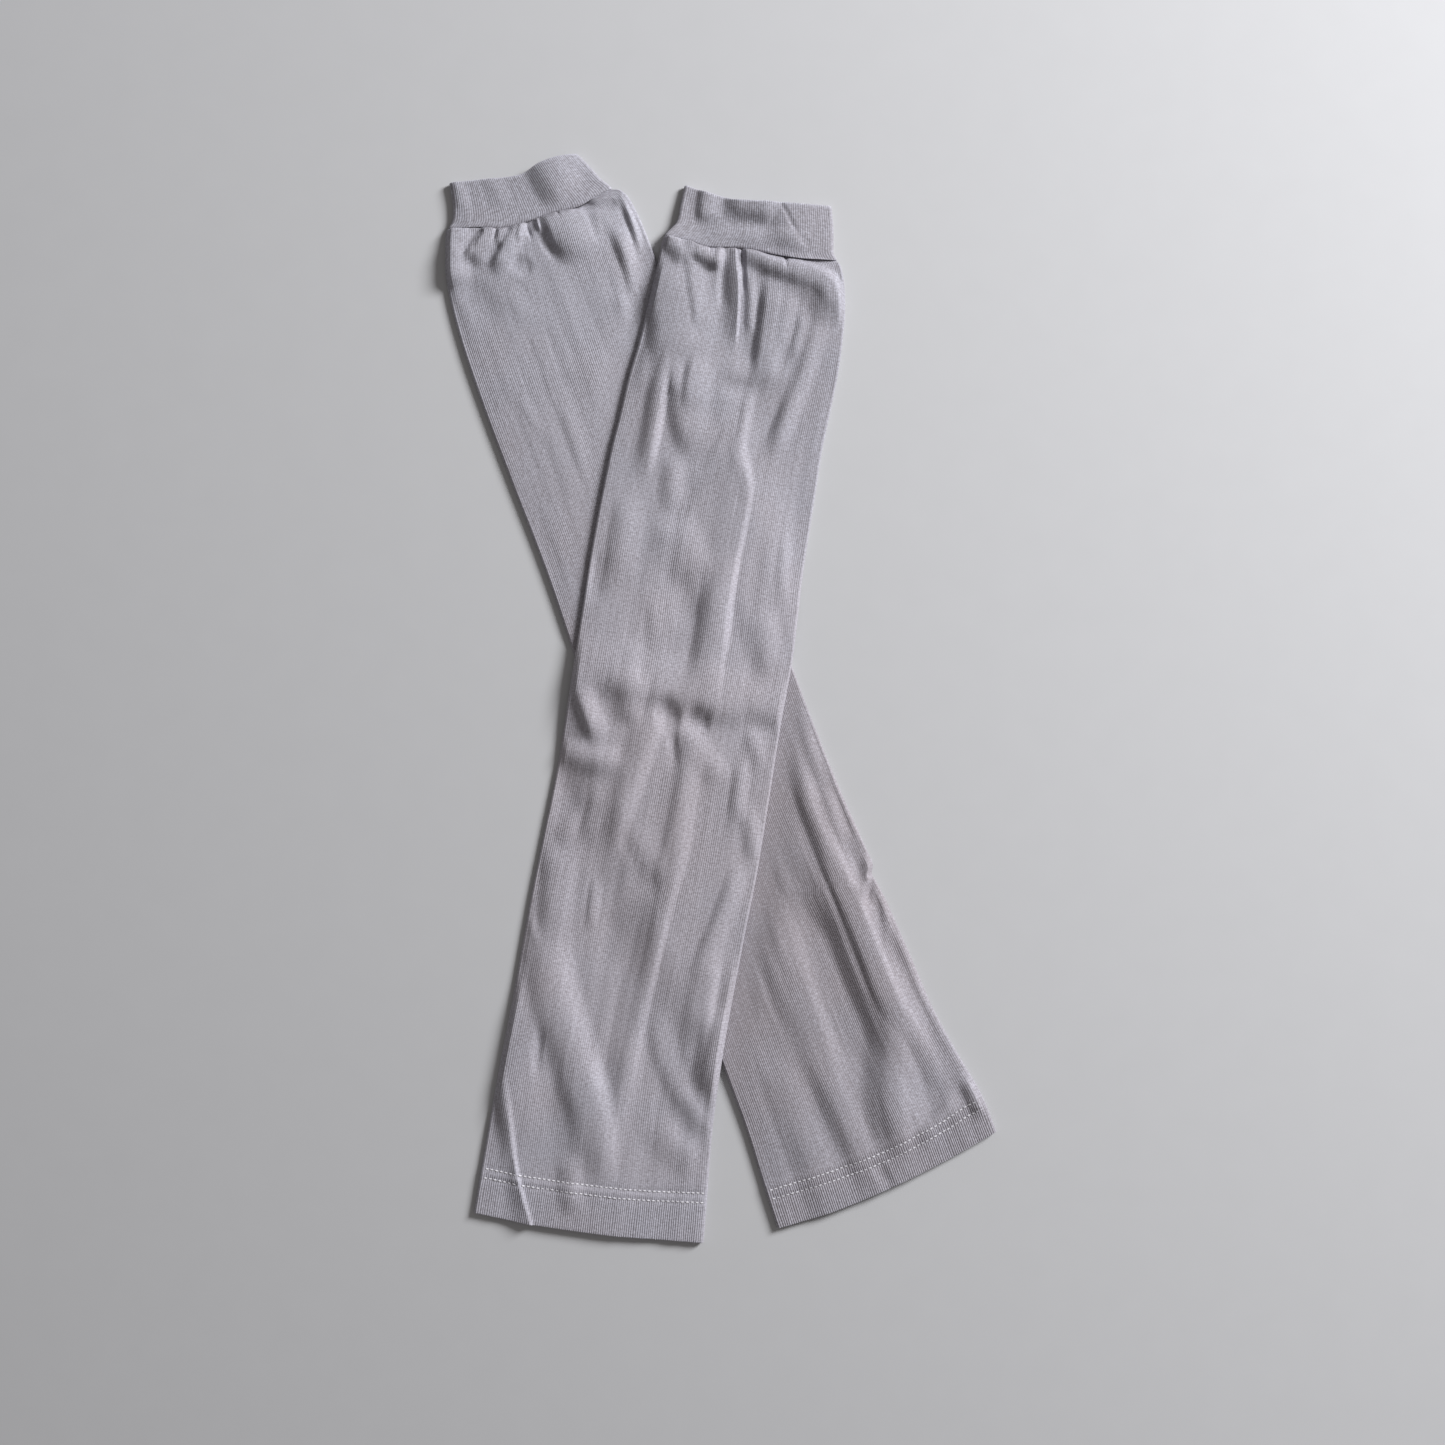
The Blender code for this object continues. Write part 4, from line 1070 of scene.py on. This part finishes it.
class Finish:
    # one material; add makes any node from its type, its settings and its sockets' values
    def __init__(self, name, constants):
        self.material = bpy.data.materials.new(name)
        self.material.use_nodes = True
        self.tree = self.material.node_tree
        self.shader = self.tree.nodes["Principled BSDF"]
        for socket, value in constants.items():
            self.shader.inputs[socket].default_value = value
        self.spot = self.add("ShaderNodeTexCoord", {}, {}).outputs["Object"]

    def add(self, kind, settings, values):
        node = self.tree.nodes.new(kind)
        for key, value in settings.items():
            setattr(node, key, value)
        for key, value in values.items():
            self.feed(node.inputs[key], value)
        return node

    def feed(self, socket, value):
        if isinstance(value, Field):
            value = value.socket
        if isinstance(value, bpy.types.NodeSocket):
            self.tree.links.new(value, socket)
        else:
            socket.default_value = value

    def number(self, kind, settings, values, output=0):
        return Field(self, self.add(kind, settings, values).outputs[output])

    def noise(self, place, scale, detail):
        values = {"Vector": place, "Scale": scale, "Detail": detail}
        return self.number("ShaderNodeTexNoise", {}, values)

    def attribute(self, name):
        return self.number("ShaderNodeAttribute", {"attribute_name": name}, {}, 2)

    def mixColors(self, factor, first, second):
        values = {0: factor, 6: first, 7: second}
        return self.add("ShaderNodeMix", {"data_type": "RGBA"}, values).outputs[2]

    def cover(self, color, strength, depth, height):
        values = {"Strength": strength, "Distance": depth, "Height": height}
        bump = self.add("ShaderNodeBump", {}, values)
        self.feed(self.shader.inputs["Base Color"], color)
        self.feed(self.shader.inputs["Normal"], bump.outputs[0])
        return self.material


# Colours are linear; amounts are shares; a scale is a noise's steps in a metre, and a stretch
# its steps in a rib and in a row of loops
knitLook = {
    # the ends of one lightness scale: painted shade and light and the knit's random mottle move along it
    "darkKnitAndShadeColor": (0.265, 0.247, 0.268, 1.0),
    "mainColor": (0.385, 0.370, 0.408, 1.0),
    "paleKnitAndHighlightColor": (0.50, 0.485, 0.535, 1.0),
    "roughness": 0.78,
    "specular": 0.3,
    "sheen": 0.35,
    "sheenRoughness": 0.45,
    "sheenTint": (0.86, 0.85, 0.95, 1.0),
    "grooveShade": 0.42,
    "evenCrest": 0.75,        # a rib is as light as the rest at this height
    "painted": 0.35,          # how strongly the painted shade and light stored on the meshes shows
    "streaks": 0.2,
    "streakStretch": (0.43, 0.012),
    "heather": 0.6,
    "heatherScale": 1300.0,
    "loops": 0.6,
    "loopStretch": (0.55, 0.8),
    "patches": 0.10,
    "patchScale": 22.0,
    "warmTint": (1.032, 0.994, 0.984, 1.0),
    "coolTint": (0.974, 0.994, 1.016, 1.0),
    # how far the painted warmth of the light, stored on the meshes, shifts the tint
    "paintedWarmthShare": 0.5,
    "tintDrift": 0.9,
    "tintScale": 34.0,
    "bumpDepth": 0.00011,
    "crestPower": 0.7,        # below 1 for a full, round rib
    "loopLean": 0.9,
    "loopRelief": 0.3,
    "heatherRelief": 0.25,
}
cuffLook = {**knitLook, "grooveShade": 0.4, "bumpDepth": 0.000132}


def knitFinish(name, look):
    finish = Finish(name, {
        "Roughness": look["roughness"],
        "Sheen Weight": look["sheen"],
        "Sheen Roughness": look["sheenRoughness"],
        "Sheen Tint": look["sheenTint"],
        "Specular IOR Level": look["specular"],
    })
    place = finish.add("ShaderNodeUVMap", {"uv_map": "knit"}, {}).outputs[0]
    split = finish.add("ShaderNodeSeparateXYZ", {}, {0: place})
    wale, course = Field(finish, split.outputs[0]), Field(finish, split.outputs[1])

    def stretched(stretch):
        values = {0: wale * stretch[0], 1: course * stretch[1]}
        return finish.add("ShaderNodeCombineXYZ", {}, values).outputs[0]

    crest = (wale * (2 * math.pi)).math("COSINE") * 0.5 + 0.5
    lean = ((wale + 0.5).math("FRACT") - 0.5).math("ABSOLUTE")
    loop = ((course + lean * look["loopLean"]) * (2 * math.pi)).math("COSINE") * 0.5 + 0.5
    relief = crest ** look["crestPower"] * (loop * look["loopRelief"] + (1 - look["loopRelief"]))

    ribs = finish.attribute("ribs")
    heather = finish.noise(finish.spot, look["heatherScale"], 3.0)
    noises = (
        ("loops", finish.noise(stretched(look["loopStretch"]), 1.0, 1.0)),
        ("streaks", finish.noise(stretched(look["streakStretch"]), 1.0, 2.0)),
        ("heather", heather),
        ("patches", finish.noise(finish.spot, look["patchScale"], 2.0)),
    )
    # painted shade in the grooves between ribs and painted light on their crests, as strongly as the ribs
    # show
    level = 0.5 + (crest - look["evenCrest"]) * look["grooveShade"] * ribs
    for amount, noise in noises:
        level += (noise - 0.5) * (2 * look[amount])
    # painted shade and light stored on the meshes darkens or lightens the knit
    level += finish.attribute("paintedShading") * look["painted"]
    dark = finish.mixColors((level * 2.0).math("MINIMUM", 1.0), look["darkKnitAndShadeColor"], look["mainColor"])
    color = finish.mixColors((level * 2.0 - 1.0).math("MAXIMUM", 0.0), dark, look["paleKnitAndHighlightColor"])

    # a random drift of the tint, plus the painted warm colour of the light along each sleeve
    drift = finish.noise(finish.spot, look["tintScale"], 1.0)
    paintedWarmth = finish.attribute("paintedWarmth")
    swing = (drift - 0.5) * look["tintDrift"] + 0.5 - paintedWarmth * look["paintedWarmthShare"]
    swing = swing.math("MAXIMUM", 0.0).math("MINIMUM", 1.0)
    tint = finish.mixColors(swing, look["warmTint"], look["coolTint"])
    color = finish.add("ShaderNodeVectorMath", {"operation": "MULTIPLY"}, {0: color, 1: tint}).outputs[0]
    return finish.cover(color, 1.0, look["bumpDepth"], relief * ribs + heather * look["heatherRelief"])


threadLook = {
    "color": (0.78, 0.765, 0.80, 1.0),
    "shade": (0.56, 0.545, 0.58, 1.0),
    "holeShadeColor": (0.11, 0.10, 0.115, 1.0),   # painted shade of the needle holes at a stitch's ends
    "roughness": 0.62,
    "sheen": 0.3,
    "fibreScale": 2400.0,
    "bumpStrength": 0.6,
    "bumpDepth": 0.00008,
}


def threadFinish(name, look):
    finish = Finish(name, {"Roughness": look["roughness"], "Sheen Weight": look["sheen"]})
    fibre = finish.noise(finish.spot, look["fibreScale"], 2.0)
    color = finish.mixColors(fibre, look["shade"], look["color"])
    # painted shade at the needle holes
    color = finish.mixColors(finish.attribute("hole"), color, look["holeShadeColor"])
    return finish.cover(color, look["bumpStrength"], look["bumpDepth"], fibre)


# Build the pieces
bodyFinish = knitFinish("fineRib", knitLook)
cuffFinish = knitFinish("cuffRib", cuffLook)
stitchFinish = threadFinish("spunThread", threadLook)
pieces = {}
for sleeve in (underSleeve, overSleeve):
    name = sleeve["name"]
    bodyPiece = addBody(sleeve)
    cuffPiece = addCuff(sleeve)
    stitchPiece = addStitches(sleeve, bodyPiece)
    for piece, material, slot in (
        (bodyPiece, bodyFinish, "body_rib"),
        (cuffPiece, cuffFinish, "cuff_rib"),
        (stitchPiece, stitchFinish, "thread"),
    ):
        piece.data.materials.append(material)
        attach(piece, "root")
    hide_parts(name + "_body")
    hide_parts(name + "_cuff")
    pieces[name] = (bodyPiece, cuffPiece, stitchPiece)
    print(name, "built:", sum(len(piece.data.polygons) for piece in pieces[name]), "faces")

# The cut of each tube all round, worked out here but not passed on: the body with its turned-up hem, then
# the cuff once over
for sleeve, rests in ((underSleeve, []), (overSleeve, ["under_sleeve_knit"])):
    bodyPiece, cuffPiece, stitchPiece = pieces[sleeve["name"]]
    cut = (body["cutWidth"] * mm, (sleeve["length"] + body["hemDepth"]) * mm)
    cut = (cuff["cutWidth"] * mm, cuff["height"] * mm)

# Stage: a pale floor, a soft light from the upper right and a camera straight above
stage = {
    "floorColor": (0.56, 0.56, 0.57, 1.0),
    "floorShade": (0.5432, 0.5432, 0.5529, 1.0),
    "floorSize": 3.0,
    "floorRoughness": 0.9,
    "floorSpecular": 0.1,
    "floorGrain": 60.0,
    "keyDirection": (0.82, 0.57),
    "keyElevation": 27.0,
    "keyDistance": 2.2,
    "keySize": 0.8,
    "keyPower": 82.0,
    "keyColor": (0.97, 0.98, 1.0),
    "skyColor": (1.0, 0.965, 0.95, 1.0),
    "skyStrength": 0.2,
    "cameraX": 0.0007,
    "cameraY": -0.0115,
    "viewWidth": 0.6936,
    "lens": 50.0,
    "sensor": 36.0,
}


def addStage():
    ground = bmesh.new()
    bmesh.ops.create_grid(ground, x_segments=1, y_segments=1, size=stage["floorSize"] / 2)
    finish = Finish("paleFloor", {
        "Roughness": stage["floorRoughness"], "Specular IOR Level": stage["floorSpecular"],
    })
    grain = finish.noise(finish.spot, stage["floorGrain"], 2.0)
    color = finish.mixColors(grain, stage["floorShade"], stage["floorColor"])
    finish.feed(finish.shader.inputs["Base Color"], color)
    floor = addObject("floor", meshFrom("floor", ground))
    floor.data.materials.append(finish.material)

    lamp = bpy.data.lights.new("softKey", "AREA")
    lamp.shape = "DISK"
    lamp.size = stage["keySize"]
    lamp.energy = stage["keyPower"]
    lamp.color = stage["keyColor"]
    key = addObject("softKey", lamp)
    level = math.radians(stage["keyElevation"])
    towards = Vector((*[value * math.cos(level) for value in stage["keyDirection"]], math.sin(level)))
    key.location = towards.normalized() * stage["keyDistance"]
    key.rotation_mode = "QUATERNION"
    key.rotation_quaternion = towards.to_track_quat("Z", "Y")

    world = bpy.data.worlds.new("softSky")
    world.use_nodes = True
    background = world.node_tree.nodes["Background"]
    background.inputs["Color"].default_value = stage["skyColor"]
    background.inputs["Strength"].default_value = stage["skyStrength"]
    bpy.context.scene.world = world
    bpy.context.scene.view_settings.view_transform = "Standard"

    camera = addObject("camera", bpy.data.cameras.new("camera"))
    camera.data.lens = stage["lens"]
    camera.data.sensor_width = stage["sensor"]
    height = stage["viewWidth"] * stage["lens"] / stage["sensor"]
    camera.location = (stage["cameraX"], stage["cameraY"], height)
    bpy.context.scene.camera = camera


addStage()
print("stage set")
